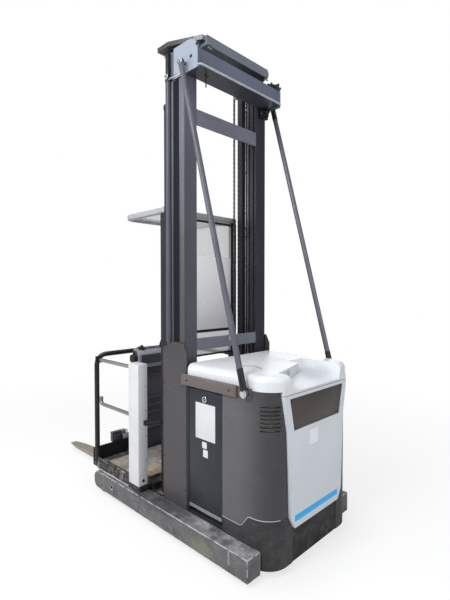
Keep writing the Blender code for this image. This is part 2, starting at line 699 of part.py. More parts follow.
def seam_height(x):
    """Height of the wavy joint between side shell and skirt."""
    high_x, low_x = SEAM_RAMP
    share = min(1.0, max(0.0, (low_x - x) / (low_x - high_x)))
    return SEAM_LOW_Z + (SEAM_HIGH_Z - SEAM_LOW_Z) * share


def wall(name, side, start_x, end_y, low, high):
    """A body panel lofted along the plan line; low and high give its edges' height at an X."""
    lines = []
    for offset in (0.0, SHELL):
        line = body_line(side, offset, start_x, end_y)
        bends = [(x, line[0][1]) for x in sorted(SEAM_RAMP, reverse=True)]
        lines.append([line[0]] + bends + line[1:])
    outer, inner = lines
    shape = bmesh.new()
    rows = []
    for (x, y), (inner_x, inner_y) in zip(outer, inner):
        rows.append([shape.verts.new(v) for v in ((x, y, low(x)), (x, y, high(x)),
                                                  (inner_x, inner_y, high(x)), (inner_x, inner_y, low(x)))])
    for near, far in zip(rows, rows[1:]):
        for i in range(4):
            j = (i + 1) % 4
            shape.faces.new((near[i], near[j], far[j], far[i]))
    shape.faces.new(rows[0])
    shape.faces.new(rows[-1])
    bmesh.ops.recalc_face_normals(shape, faces=shape.faces)
    return mesh_object(name, shape)


def cover_outline(grow):
    """Outline of the rear cover in the YZ plane, grown sideways and downwards."""
    edge = [(half + grow, z) for z, half in COVER_EDGE]
    edge[0] = (edge[0][0], edge[0][1] - grow)
    return edge + [(-y, z) for y, z in reversed(edge)]


def louvre(side, z):
    """A slot that follows the corner, as a solid to cut with."""
    centre = (BODY_REAR_X + BODY_CORNER_RADIUS, side * (BODY_HALF - BODY_CORNER_RADIUS))
    first, last = LOUVRE_ANGLES
    outer = arc(centre, BODY_CORNER_RADIUS + 0.01, side * first, side * last, 5)
    inner = arc(centre, BODY_CORNER_RADIUS - SHELL - 0.01, side * first, side * last, 5)
    return plate("louvre", outer + inner[::-1], "XY", z, LOUVRE_HEIGHT)


def body():
    """Side shells, lower skirts, the white rear cover and the side bars with stay brackets."""
    cover_top = COVER_EDGE[-1][0]
    for label, side in SIDES:
        start_x = DOOR_REAR_X - DOOR_GAP
        end_y = COVER_EDGE[0][1]
        shell = wall("side_shell_" + label, side, start_x, end_y,
                     lambda x: seam_height(x) + JOINT_LINE, lambda x: BODY_TOP_Z)
        cover_room = plate("cover_room", cover_outline(JOINT_LINE), "YZ", REAR_X - 0.02, SHELL * 5)
        top_room = side_box("top_room", side, (REAR_X - 0.02, COVER_BACK_X + 0.03),
                            (-0.02, COVER_EDGE[-1][1] + JOINT_LINE), (cover_top - 0.001, BODY_TOP_Z + 0.01))
        slots = [louvre(side, LOUVRE_LOW_Z + i * LOUVRE_PITCH) for i in range(LOUVRE_COUNT)]
        cut(shell, cover_room, top_room, *slots)
        keep(shell, "chassis")
        skirt = wall("skirt_" + label, side, start_x, end_y + JOINT_LINE,
                     lambda x: SKIRT_BOTTOM_Z, seam_height)
        leg_room = side_box("leg_room", side, (LEG_REAR_X - 0.006, DOOR_REAR_X + 0.1),
                            (BODY_HALF - SHELL - 0.002, LEG_OUTER_Y + 0.05), (-0.1, LEG_TOP_Z + SEAT))
        skirt_cover_room = plate("skirt_cover_room", cover_outline(JOINT_LINE), "YZ", REAR_X - 0.02,
                                 SHELL * 5)
        cut(skirt, leg_room, skirt_cover_room)
        keep(skirt, "chassis")

    low_z, low_half = COVER_EDGE[0]
    centre = box("skirt_centre", (BODY_REAR_X + JOINT_LINE, -low_half, SKIRT_BOTTOM_Z),
                 (BODY_REAR_X + SHELL, low_half, low_z - JOINT_LINE))
    keep(centre, "black")

    cover = plate("rear_cover", cover_outline(0.0), "YZ", REAR_X, COVER_BACK_X - REAR_X)
    recess_outline = [(RECESS_HALF[0], RECESS_Z[0]), (RECESS_HALF[1], RECESS_Z[1]),
                      (-RECESS_HALF[1], RECESS_Z[1]), (-RECESS_HALF[0], RECESS_Z[0])]
    recess = plate("recess", recess_outline, "YZ", REAR_X - 0.01, RECESS_DEPTH + 0.01)
    hollow = plate("cover_hollow", cover_outline(-0.03), "YZ", REAR_X + RECESS_DEPTH + 0.010, 0.1)
    cut(cover, recess, hollow)
    for _, side in SIDES:
        low, high = COVER_EDGE[1], COVER_EDGE[2]
        outline = [(side * (half + d), z) for (z, half), d in
                   ((low, -0.028), (high, -0.028), (high, COVER_FLANGE), (low, COVER_FLANGE))]
        weld(cover, plate("flange", outline, "YZ", BODY_REAR_X + SHELL + SEAT, 0.008))
    keep(cover, "white")

    for label, side in SIDES:
        bar = side_box("side_bar_" + label, side, (BAR_REAR_X, BAR_FRONT_X),
                       (BODY_HALF + SEAT, BODY_HALF + SEAT + BAR_THICK), (BAR_BOTTOM_Z, BAR_TOP_Z), 0.006)
        foot_x, foot_z = STAY_FOOT
        lug = side_box("lug", side, (foot_x - LUG_RADIUS, BAR_REAR_X + 0.02),
                       (BODY_HALF + SEAT, BODY_HALF + 0.010), (foot_z - LUG_RADIUS, foot_z + LUG_RADIUS))
        pin = cylinder("stay_pin", (foot_x, side * (STAY_Y - 0.005), foot_z), (0, 1, 0),
                       STAY_PIN_RADIUS, 0.052, 16)
        weld(bar, lug, pin)
        keep(bar, "bar")


def battery_doors():
    """Side doors over the battery, hinged along their foot."""
    for label, side in SIDES:
        door = side_box("battery_door_" + label, side, (DOOR_REAR_X, DOOR_FRONT_X),
                        (BODY_HALF - DOOR_THICK, BODY_HALF - 0.002), (DOOR_BOTTOM_Z, DOOR_TOP_Z), 0.004)
        lock = cylinder("lock", ((DOOR_REAR_X + DOOR_FRONT_X) / 2, side * (BODY_HALF - 0.001),
                                 DOOR_TOP_Z - 0.055), (0, 1, 0), LOCK_RADIUS, 0.010, 24)
        weld(door, lock)
        for x in DOOR_EAR_XS:
            ear = side_box("ear", side, (x - DOOR_EAR / 2, x + DOOR_EAR / 2),
                           (DOOR_AXIS_Y - 0.009, BODY_HALF - DOOR_THICK + 0.004),
                           (DOOR_AXIS_Z - 0.009, DOOR_AXIS_Z + 0.009))
            bore = cylinder("ear_bore", (x, side * DOOR_AXIS_Y, DOOR_AXIS_Z), (1, 0, 0),
                            DOOR_PIN_RADIUS + PIN_GAP, DOOR_EAR * 2, 16)
            weld(door, ear)
            cut(door, bore)
        keep(door, "door")
        fixed_to(door, "door_axis_" + label, (0, side * DOOR_AXIS_Y, DOOR_AXIS_Z))


def hood_plan(inset, front):
    """Plan outline of the hood with round rear corners, drawn in by the inset."""
    r = BODY_CORNER_RADIUS
    centre = (REAR_X + r + HOOD_GAP_X, HOOD_HALF - r)
    plan = [(front, HOOD_HALF - inset)] + arc(centre, r - inset, 90, 180, 8)
    return plan + [(x, -y) for x, y in reversed(plan)]


def scoop(grow):
    """The hollow behind the handle, as a solid that can be grown for the inner skin."""
    top_half, floor_half = SCOOP_HALF
    profile = [(from_rear(x) + grow, z - grow) for x, z in SCOOP_FLOOR]
    profile += [(profile[-1][0], HOOD_TOP_Z + 0.05), (profile[0][0] - grow, HOOD_TOP_Z + 0.05)]
    solid = plate("scoop", profile, "XZ", -1.0, 2.0)
    rise = HOOD_TOP_Z + 0.05 - SCOOP_FLOOR[0][1]
    for vertex in solid.data.vertices:
        share = (vertex.co.z - SCOOP_FLOOR[0][1]) / rise
        vertex.co.y *= floor_half + (top_half - floor_half) * share + grow
    (near_x, near_y), (far_x, far_y), (end_x, end_y) = HANDLE_EDGE
    plan = [(from_rear(near_x) + grow, near_y + 0.2), (from_rear(near_x) + grow, near_y),
            (from_rear(far_x) + grow, far_y + grow), (from_rear(end_x), end_y + grow),
            (from_rear(end_x), near_y + 0.2)]
    return cut(solid, plate("handle_block", plan, "XY", SCOOP_FLOOR[0][1] - 0.2, 0.6))


def hood():
    """The pale hood over the motor and battery, hinged at its front edge."""
    lid = plate("hood", hood_plan(0.0, HOOD_FRONT_X), "XY", BODY_TOP_Z + SEAT, HOOD_TOP_Z - BODY_TOP_Z - SEAT)
    edges = lid.modifiers.new("edges", "BEVEL")
    edges.width = HOOD_ROUND
    edges.segments = 4
    edges.limit_method = "WEIGHT"
    weights = lid.data.attributes.new("bevel_weight_edge", "FLOAT", "EDGE")
    for edge in lid.data.edges:
        ends = [lid.data.vertices[i].co for i in edge.vertices]
        on_top = all(abs(v.z - HOOD_TOP_Z) < 1e-4 for v in ends)
        at_front = all(abs(v.x - HOOD_FRONT_X) < 1e-4 for v in ends)
        weights.data[edge.index].value = 1.0 if on_top and not at_front else 0.0
    cover_z, cover_half = COVER_EDGE[-1]
    lip = box("hood_lip", (REAR_X + HOOD_GAP_X, -cover_half, HOOD_LIP_Z),
              (COVER_BACK_X, cover_half, BODY_TOP_Z + 0.010))
    pan = box("scoop_pan", (REAR_X + HOOD_GAP_X, -SCOOP_HALF[0], HOOD_LIP_Z),
              (SCOOP_PAN_X, SCOOP_HALF[0], BODY_TOP_Z + 0.010))
    hollow = plate("hollow", hood_plan(HOOD_SKIN, HOOD_FRONT_X + 0.1), "XY", BODY_TOP_Z - 0.1,
                   HOOD_TOP_Z - HOOD_SKIN - BODY_TOP_Z + 0.1)
    cut(hollow, scoop(SCOOP_WALL - HOOD_SKIN),
        box("lip_room", (REAR_X - 0.1, -1.0, BODY_TOP_Z - 0.2), (COVER_BACK_X, 1.0, HOOD_TOP_Z)))
    weld(lid, lip, pan)
    cut(lid, hollow, scoop(0.0))
    (near_x, near_y), (far_x, far_y), _ = HANDLE_EDGE
    pocket = box("handle_pocket", [-size / 2 for size in POCKET_SIZE], [size / 2 for size in POCKET_SIZE])
    pocket.rotation_euler.z = math.atan2(far_x - near_x, near_y - far_y)
    pocket.location = (from_rear(near_x + (far_x - near_x) * POCKET_PLACE),
                       near_y + (far_y - near_y) * POCKET_PLACE, HOOD_TOP_Z - POCKET_DROP)
    grooves = []
    for i in range(GROOVE_COUNT):
        y = (i - (GROOVE_COUNT - 1) / 2) * GROOVE_PITCH
        grooves.append(box("groove", (GROOVE_SPAN[0], y - GROOVE, HOOD_TOP_Z - GROOVE),
                           (GROOVE_SPAN[1], y + GROOVE, HOOD_TOP_Z + 0.01)))
    cut(lid, pocket, *grooves)
    keep(lid, "white")
    fixed_to(lid, "hood_axis", (HOOD_HINGE[0], 0, HOOD_HINGE[1]))


def beam_outline(rear_x, depth, inner_y, width, flange, web):
    """Plan section of a rolled beam: two flanges across X and a web between them."""
    outer_y = inner_y + width
    web_low = inner_y + (width - web) / 2
    web_high = web_low + web
    front_x = rear_x + depth
    return [(rear_x, inner_y), (rear_x, outer_y), (rear_x + flange, outer_y),
            (rear_x + flange, web_high), (front_x - flange, web_high), (front_x - flange, outer_y),
            (front_x, outer_y), (front_x, inner_y), (front_x - flange, inner_y),
            (front_x - flange, web_low), (rear_x + flange, web_low), (rear_x + flange, inner_y)]


def channel_outline(rear_x, depth, inner_y, width, flange, web):
    """Plan section of a channel that is open to the middle, its web on the outer side."""
    outer_y = inner_y + width
    front_x = rear_x + depth
    return [(rear_x, inner_y), (rear_x, outer_y), (front_x, outer_y), (front_x, inner_y),
            (front_x - flange, inner_y), (front_x - flange, outer_y - web),
            (rear_x + flange, outer_y - web), (rear_x + flange, inner_y)]


def mast_beam(name, side, low, high, outline):
    return plate(name, [(x, side * y) for x, y in outline], "XY", low, high - low)


def roller(side, x, z, radius, y_from, y_to, pin_to):
    """A mast roller on its pin: the pin reaches into the web that carries it."""
    wheel = cylinder("roller", (x, side * (y_from + y_to) / 2, z), (0, 1, 0), radius, y_to - y_from, 28)
    low, high = min(y_from, pin_to), max(y_to, pin_to)
    pin = cylinder("roller_pin", (x, side * (low + high) / 2, z), (0, 1, 0), radius * 0.35, high - low, 16)
    return wheel, pin


def outer_mast():
    """Outer uprights with their top rollers, crossbars, and the head beam between cheek plates."""
    section = channel_outline(MAST_REAR_X, OUTER_DEPTH, OUTER_INNER_Y, OUTER_FLANGE_WIDTH, OUTER_FLANGE,
                              OUTER_WEB)
    for label, side in SIDES:
        beam = mast_beam("outer_upright_" + label, side, BASE_TOP_Z + SEAT, OUTER_TOP_Z, section)
        wheel, pin = roller(side, INNER_MID_X, OUTER_TOP_Z - TOP_ROLLER_DROP, CAB_ROLLER_RADIUS,
                            INNER_WEB_Y + INNER_WEB / 2 + 0.006, INNER_HALF + 0.002, OUTER_WEB_Y)
        weld(beam, wheel, pin)
        keep(beam, "mast")

    inner = OUTER_INNER_Y - SEAT
    for name, low, height in CROSSBARS:
        bar = box(name, (MAST_REAR_X + 0.002, -inner, low),
                  (MAST_REAR_X + 0.002 + CROSSBAR_THICK, inner, low + height))
        keep(bar, "mast")

    cheek_inner = OUTER_HALF + SEAT
    cheek_outer = cheek_inner + CHEEK_THICK
    head = box("mast_head", (HEAD_REAR_X, -cheek_outer + 0.004, HEAD_BOTTOM_Z),
               (HEAD_REAR_X + HEAD_PLATE, cheek_outer - 0.004, HEAD_TOP_Z))
    lip_half = cheek_outer - 0.002
    corner = (HEAD_REAR_X - HEAD_LIP_REACH + HEAD_LIP_ROUND, lip_half - HEAD_LIP_ROUND)
    plan = [(MAST_REAR_X - SEAT, lip_half)] + arc(corner, HEAD_LIP_ROUND, 90, 180, 4)
    plan += [(x, -y) for x, y in reversed(plan)]
    lip = plate("lip", plan, "XY", HEAD_BOTTOM_Z - HEAD_LIP, HEAD_LIP + 0.001)
    top_lip = box("top_lip", (HEAD_REAR_X + 0.001, -cheek_outer + 0.002, HEAD_TOP_Z - HEAD_LIP),
                  (HEAD_REAR_X + 0.050, cheek_outer - 0.002, HEAD_TOP_Z - 0.001))
    cheeks = []
    for _, side in SIDES:
        r = CHEEK_ROUND
        outline = [(CHEEK_FRONT_X, CHEEK_BOTTOM_Z), (CHEEK_FRONT_X, OUTER_TOP_Z)]
        outline += arc((CHEEK_REAR_X + r, OUTER_TOP_Z - r), r, 90, 180, 5)
        outline.append((CHEEK_REAR_X, CHEEK_BOTTOM_Z))
        low_y = y_span(side, cheek_inner, cheek_outer)[0]
        cheeks.append(plate("cheek", outline, "XZ", low_y, CHEEK_THICK))
        cheeks.append(cylinder("head_pin", (STAY_HEAD[0], side * (STAY_Y - 0.014), STAY_HEAD[1]),
                               (0, 1, 0), STAY_PIN_RADIUS, 0.072, 16))
    weld(head, lip, top_lip, *cheeks)
    keep(head, "mast")


def stays():
    """Diagonal stays with a flat eye at each end."""
    for label, side in SIDES:
        y = side * STAY_Y
        foot = Vector((STAY_FOOT[0], y, STAY_FOOT[1]))
        head = Vector((STAY_HEAD[0], y, STAY_HEAD[1]))
        along = (head - foot).normalized()
        inset = along * (STAY_PIN_RADIUS + 0.004)
        bar = tube("stay_" + label, [foot + inset, head - inset], STAY_RADIUS)
        eyes = [cylinder("eye", place, (0, 1, 0), STAY_EYE_RADIUS, STAY_EYE_WIDTH,
                         24) for place in (foot, head)]
        holes = [cylinder("eye_hole", place, (0, 1, 0), STAY_PIN_RADIUS + SEAT, 0.08, 16)
                 for place in (foot, head)]
        weld(bar, *eyes)
        cut(bar, *holes)
        keep(bar, "chassis")


def inner_mast():
    """The moving stage: uprights with rollers, head with chain wheels, crossbar, rods and chains."""
    section = beam_outline(INNER_REAR_X, INNER_DEPTH, INNER_INNER_Y, INNER_FLANGE_WIDTH, INNER_FLANGE,
                           INNER_WEB)
    for label, side in SIDES:
        beam = mast_beam("inner_upright_" + label, side, INNER_BOTTOM_Z, INNER_TOP_Z, section)
        for height in ROLLER_HEIGHTS:
            weld(beam, *roller(side, OUTER_MID_X, INNER_BOTTOM_Z + height, INNER_ROLLER_RADIUS,
                               INNER_WEB_Y + INNER_WEB / 2 + 0.010, INNER_HALF + MAST_SIDE_GAP - 0.004, INNER_WEB_Y))
        keep(beam, "mast")

    head = box("inner_head", (INNER_HEAD_REAR_X, -OUTER_HALF + 0.100, SLAB_BOTTOM_Z - 0.030),
               (INNER_HEAD_REAR_X + INNER_HEAD_DEPTH, OUTER_HALF - 0.100, SLAB_TOP_Z + 0.004))
    for _, side in SIDES:
        slab = plate("slab", [(SLAB_REAR_X, side * (INNER_INNER_Y - 0.03)),
                              (SLAB_FRONT_X, side * (INNER_INNER_Y - 0.03)),
                              (SLAB_FRONT_X, side * SLAB_HALF),
                              (SLAB_REAR_X + SLAB_TAPER[0], side * SLAB_HALF),
                              (SLAB_REAR_X, side * (SLAB_HALF - SLAB_TAPER[1]))],
                     "XY", SLAB_BOTTOM_Z + SEAT, SLAB_THICK - SEAT)
        fork_low = side_box("wheel_plate", side, (CHAIN_WHEEL_X - 0.02, CHAIN_WHEEL_X + 0.02),
                            (CHAIN_Y + CHAIN_WIDTH / 2 + 0.002, CHAIN_Y + CHAIN_WIDTH / 2 + 0.008),
                            (CHAIN_WHEEL_Z - 0.015, SLAB_BOTTOM_Z + 0.01))
        wheel = cylinder("chain_wheel", (CHAIN_WHEEL_X, side * (CHAIN_Y + 0.001), CHAIN_WHEEL_Z), (0, 1, 0),
                         CHAIN_WHEEL_RADIUS - CHAIN_THICK / 2 - SEAT, CHAIN_WIDTH + 0.006, 28)
        weld(head, slab, fork_low, wheel)
    keep(head, "mast")

    bar = box("inner_crossbar", (INNER_REAR_X + 0.001, -INNER_INNER_Y + SEAT, INNER_BAR_Z),
              (INNER_REAR_X + 0.001 + INNER_BAR_THICK, INNER_INNER_Y - SEAT, INNER_BAR_Z + INNER_BAR_HEIGHT))
    keep(bar, "mast")

    for label, side in SIDES:
        barrel_z = BASE_TOP_Z + SEAT
        barrel = cylinder("lift_cylinder_" + label, (CYLINDER_X, side * CYLINDER_Y,
                          (barrel_z + CYLINDER_TOP_Z) / 2), (0, 0, 1), CYLINDER_RADIUS,
                          CYLINDER_TOP_Z - barrel_z, 24)
        bore = cylinder("bore", (CYLINDER_X, side * CYLINDER_Y, CYLINDER_TOP_Z), (0, 0, 1),
                        CYLINDER_BORE, 2 * (CYLINDER_TOP_Z - barrel_z - CYLINDER_FLOOR), 24)
        cut(barrel, bore)
        keep(barrel, "black")
        rod_low = barrel_z + CYLINDER_FLOOR + 0.050
        rod = cylinder("lift_rod_" + label, (CYLINDER_X, side * CYLINDER_Y,
                       (rod_low + SLAB_BOTTOM_Z) / 2), (0, 0, 1), ROD_RADIUS, SLAB_BOTTOM_Z - rod_low, 20)
        keep(rod, "steel")
        keep(chain("lift_chain_" + label, side), "steel")


def chain(name, side):
    """A lift chain over its wheel: a long run behind, the wrap, and a run down to the cab."""
    outer_r = CHAIN_WHEEL_RADIUS + CHAIN_THICK / 2
    inner_r = CHAIN_WHEEL_RADIUS - CHAIN_THICK / 2
    centre = (CHAIN_WHEEL_X, CHAIN_WHEEL_Z)
    outer = [(CHAIN_WHEEL_X + outer_r, CARRIAGE_TOP_Z)] + arc(centre, outer_r, 0, 180, 12)
    outer.append((CHAIN_WHEEL_X - outer_r, CHAIN_REAR_END_Z))
    inner = [(CHAIN_WHEEL_X + inner_r, CARRIAGE_TOP_Z)] + arc(centre, inner_r, 0, 180, 12)
    inner.append((CHAIN_WHEEL_X - inner_r, CHAIN_REAR_END_Z))
    low_y = y_span(side, CHAIN_Y - CHAIN_WIDTH / 2, CHAIN_Y + CHAIN_WIDTH / 2)[0]
    return plate(name, outer + inner[::-1], "XZ", low_y, CHAIN_WIDTH)


def mast_covers():
    """Dark side plates that close the gap between the body and the cab."""
    for label, side in SIDES:
        outline = [(COVER_REAR_X, LEG_TOP_Z + SEAT), (COVER_FRONT_X, LEG_TOP_Z + SEAT),
                   (COVER_FRONT_X, COVER_TOP_Z - 0.038), (COVER_CREASE_X, COVER_TOP_Z),
                   (COVER_REAR_X + 0.035, COVER_TOP_Z), (COVER_REAR_X, COVER_TOP_Z - 0.068)]
        outer_y = BODY_HALF - 0.003
        low_y = y_span(side, outer_y - COVER_THICK, outer_y)[0]
        cover = plate("mast_cover_" + label, outline, "XZ", low_y, COVER_THICK)
        inner = outer_y - COVER_THICK
        blocks = [side_box("spacer", side, (MAST_REAR_X + 0.03, MAST_REAR_X + 0.03 + SPACER),
                           (OUTER_HALF + SEAT, inner + 0.004), (z, z + SPACER)) for z in SPACER_HEIGHTS]
        weld(cover, *blocks)
        keep(cover, "chassis")


def guard_plan(inset):
    """Plan outline of the overhead guard with round front corners, drawn in by the inset."""
    centre = (GUARD_FRONT_X - GUARD_ROUND, PILLAR_HALF - GUARD_ROUND)
    plan = [(CAB_REAR_X + inset, PILLAR_HALF - inset)] + arc(centre, GUARD_ROUND - inset, 90, 0, 6)
    return plan + [(x, -y) for x, y in reversed(plan)]


def cab_structure():
    """Deck, carriage that rides in the inner uprights, pillars, overhead guard and screens."""
    deck = box("cab_floor", (CAB_REAR_X, -DECK_BOX_HALF, DECK_BOX_BOTTOM_Z),
               (DECK_BOX_FRONT_X, DECK_BOX_HALF, DECK_BOX_TOP_Z))
    upper = box("deck", (DECK_REAR_X, -CAB_HALF, DECK_TOP_Z - DECK_THICK),
                (CAB_FRONT_X, CAB_HALF, DECK_TOP_Z))
    riser = box("riser", (DECK_REAR_X, -DECK_BOX_HALF, DECK_BOX_TOP_Z - 0.010),
                (DECK_BOX_FRONT_X, DECK_BOX_HALF, DECK_TOP_Z - 0.010))
    shelf = box("shelf", (CAB_REAR_X + 0.100, -DECK_BOX_HALF, DECK_BOX_TOP_Z - 0.010),
                (DECK_REAR_X + 0.010, DECK_BOX_HALF, DECK_TOP_Z - 0.005))
    weld(deck, upper, riser, shelf)
    for _, side in SIDES:
        seat = side_box("post_seat", side, (POST_REAR_X, DECK_REAR_X + 0.010),
                        (DECK_BOX_HALF - 0.030, CAB_HALF),
                        (DECK_TOP_Z - DECK_THICK, DECK_TOP_Z))
        board = side_box("side_board", side, (POST_FRONT_X + RUN, CAB_FRONT_X - 3 * RAIL_RADIUS),
                         (CAB_HALF - BOARD_THICK, CAB_HALF), (BOARD_BOTTOM_Z, BOARD_TOP_Z))
        weld(deck, seat, board)
    low_hollow = box("deck_hollow", (CAB_REAR_X + DECK_SHEET, -DECK_BOX_HALF + DECK_SHEET,
                                     DECK_BOX_BOTTOM_Z - 0.05),
                     (DECK_BOX_FRONT_X - DECK_SHEET, DECK_BOX_HALF - DECK_SHEET, DECK_BOX_TOP_Z - DECK_SHEET))
    high_hollow = box("riser_hollow", (DECK_REAR_X + DECK_SHEET, -DECK_BOX_HALF + DECK_SHEET,
                                       DECK_BOX_BOTTOM_Z),
                      (DECK_BOX_FRONT_X - DECK_SHEET, DECK_BOX_HALF - DECK_SHEET, DECK_TOP_Z - DECK_SHEET))
    cut(deck, low_hollow, high_hollow)
    reach = CAB_FRONT_X - POST_FRONT_X
    for i in range(BOARD_HOLES):
        x = POST_FRONT_X + reach * (i + 1) / (BOARD_HOLES + 1)
        cut(deck, cylinder("board_hole", (x, 0, (DECK_TOP_Z + BOARD_TOP_Z) / 2), (0, 1, 0), BOARD_HOLE_RADIUS,
                           WIDTH, 16))
    keep(deck, "black")
    mat = box("floor_mat", (DECK_REAR_X + 0.01, -POST_INNER_Y + 0.006, DECK_TOP_Z + SEAT),
              (COLUMN_REAR_X - COLUMN_RIB - 0.005, POST_INNER_Y - 0.006, DECK_TOP_Z + SEAT + MAT_THICK),
              0.003)
    keep(mat, "mat")

    carriage = box("cab_carriage", (CAB_REAR_X, -PILLAR_HALF + PILLAR_WIDTH + SEAT, CARRIAGE_BOTTOM_Z),
                   (CAB_REAR_X + CARRIAGE_PLATE, PILLAR_HALF - PILLAR_WIDTH - SEAT, CARRIAGE_TOP_Z))
    window = box("carriage_window", (CAB_REAR_X - 0.05, -CARRIAGE_HALF + 0.03,
                                     CARRIAGE_BOTTOM_Z + CARRIAGE_WINDOW),
                 (CAB_REAR_X + 0.05, CARRIAGE_HALF - 0.03, CARRIAGE_TOP_Z - CARRIAGE_WINDOW))
    cut(carriage, window)
    foot = box("carriage_foot", (CAB_REAR_X, -CARRIAGE_HALF, DECK_BOX_TOP_Z + SEAT),
               (CAB_REAR_X + CARRIAGE_PLATE, CARRIAGE_HALF, CARRIAGE_BOTTOM_Z + 0.010))
    weld(carriage, foot)
    for _, side in SIDES:
        side_plate = side_box("carriage_side", side, (CARRIAGE_REAR_X, CAB_REAR_X + 0.01),
                              (CARRIAGE_HALF - CARRIAGE_PLATE, CARRIAGE_HALF),
                              (CARRIAGE_BOTTOM_Z, CARRIAGE_TOP_Z))
        weld(carriage, side_plate)
        for z in (CARRIAGE_BOTTOM_Z + CARRIAGE_ROLLER_INSET, CARRIAGE_TOP_Z - CARRIAGE_ROLLER_INSET):
            weld(carriage, *roller(side, INNER_MID_X, z, CAB_ROLLER_RADIUS, INNER_INNER_Y - 0.014,
                                   OUTER_INNER_Y - 0.002, CARRIAGE_HALF - CARRIAGE_PLATE / 2))
    keep(carriage, "black")

    for label, side in SIDES:
        pillar = side_box("guard_pillar_" + label, side, (CAB_REAR_X, CAB_REAR_X + PILLAR_DEPTH),
                          (PILLAR_HALF - PILLAR_WIDTH, PILLAR_HALF),
                          (DECK_BOX_TOP_Z + SEAT, GUARD_BOTTOM_Z - SEAT), 0.006)
        bend_y = side * (POST_INNER_Y + 0.025)
        path = bent([(CAB_REAR_X + PILLAR_DEPTH / 2, side * (PILLAR_HALF - 0.01), BRACE_Z),
                     (POST_REAR_X - 0.025, bend_y, BRACE_Z), (POST_REAR_X - SEAT, bend_y, BRACE_Z)], 0.02)
        brace = tube("brace", path, BRACE_RADIUS)
        weld(pillar, brace)
        keep(pillar, "black")

    height = GUARD_TOP_Z - GUARD_BOTTOM_Z
    guard = plate("overhead_guard", guard_plan(0.0), "XY", GUARD_BOTTOM_Z, height, 0.008)
    opening = plate("guard_opening", guard_plan(GUARD_RIM), "XY", GUARD_BOTTOM_Z - height, height * 3)
    cut(guard, opening)
    keep(guard, "console")
    pane = plate("guard_pane", guard_plan(GUARD_RIM + SEAT), "XY", GUARD_TOP_Z - PANE_DROP, PANE_THICK)
    keep(pane, "glass")
    screen = box("back_screen", (CAB_REAR_X + 0.020, -PILLAR_HALF + PILLAR_WIDTH + SEAT, SCREEN_BOTTOM_Z),
                 (CAB_REAR_X + 0.020 + SCREEN_THICK, PILLAR_HALF - PILLAR_WIDTH - SEAT,
                  GUARD_BOTTOM_Z - SEAT))
    keep(screen, "glass")


def cab_front():
    """Toe board with the fork carriage, front rail, column, console and forks."""
    carriage = box("fork_carriage", (FORK_CARRIAGE_X, -FORK_OUTER_Y - 0.03, DECK_BOX_BOTTOM_Z),
                   (FORK_CARRIAGE_X + FORK_PLATE, FORK_OUTER_Y + 0.03, TOE_BOARD_TOP_Z))
    toe = box("toe_board", (CAB_FRONT_X + SEAT, -CAB_HALF, DECK_TOP_Z - DECK_THICK),
              (FORK_CARRIAGE_X + 0.002, CAB_HALF, TOE_BOARD_TOP_Z))
    weld(carriage, toe)
    keep(carriage, "black")

    x = CAB_FRONT_X - RAIL_RADIUS - SEAT
    y = CAB_HALF - RAIL_RADIUS
    low = DECK_TOP_Z + SEAT
    path = bent([(x, y, low), (x, y, RAIL_TOP_Z), (x, -y, RAIL_TOP_Z), (x, -y, low)], RAIL_BEND)
    keep(tube("front_rail", path, RAIL_RADIUS), "black")

    back = x - RAIL_RADIUS - SEAT
    column = box("front_column", (COLUMN_REAR_X, -COLUMN_HALF, DECK_TOP_Z + SEAT),
                 (back, COLUMN_HALF, CONSOLE_BOTTOM_Z - SEAT), 0.006)
    for z in COLUMN_RIBS:
        weld(column, box("column_rib", (COLUMN_REAR_X - COLUMN_RIB, -COLUMN_HALF + 0.010, z),
                         (COLUMN_REAR_X + 0.010, COLUMN_HALF - 0.010, z + COLUMN_RIB)))
    keep(column, "black")
    outline = [(CONSOLE_REAR_X, CONSOLE_BOTTOM_Z), (back, CONSOLE_BOTTOM_Z), (back, CONSOLE_TOP_Z),
               (CONSOLE_REAR_X + 0.03, CONSOLE_TOP_Z - 0.02), (CONSOLE_REAR_X, CONSOLE_TOP_Z - 0.05)]
    console = plate("console", outline, "XZ", -CONSOLE_HALF, 2 * CONSOLE_HALF, 0.004)
    keep(console, "console")

    for label, side in SIDES:
        low_y = y_span(side, FORK_OUTER_Y - FORK_WIDTH, FORK_OUTER_Y)[0]
        back_x = FORK_CARRIAGE_X + FORK_PLATE + SEAT
        outline = [(back_x, FORK_BOTTOM_Z), (FORK_TIP_X - 0.02, FORK_BOTTOM_Z),
                   (FORK_TIP_X, FORK_BOTTOM_Z + 0.006), (FORK_TIP_X, FORK_BOTTOM_Z + 0.012),
                   (FORK_TIP_X - FORK_TAPER, FORK_BOTTOM_Z + FORK_THICK),
                   (back_x + FORK_THICK, FORK_BOTTOM_Z + FORK_THICK),
                   (back_x + FORK_THICK, FORK_SHANK_TOP_Z), (back_x, FORK_SHANK_TOP_Z)]
        fork = plate("fork_" + label, outline, "XZ", low_y, FORK_WIDTH)
        step = (FORK_WIDTH - FORK_TIP_WIDTH) / 2
        for edge, sign in ((low_y, 1), (low_y + FORK_WIDTH, -1)):
            corner = [(FORK_TIP_X - FORK_TAPER / 2, edge), (FORK_TIP_X + 0.05, edge + sign * step * 1.3),
                      (FORK_TIP_X + 0.05, edge - sign * 0.05),
                      (FORK_TIP_X - FORK_TAPER / 2, edge - sign * 0.05)]
            cut(fork, plate("tip_corner", corner, "XY", FORK_BOTTOM_Z - 0.05, 0.2))
        keep(fork, "fork")


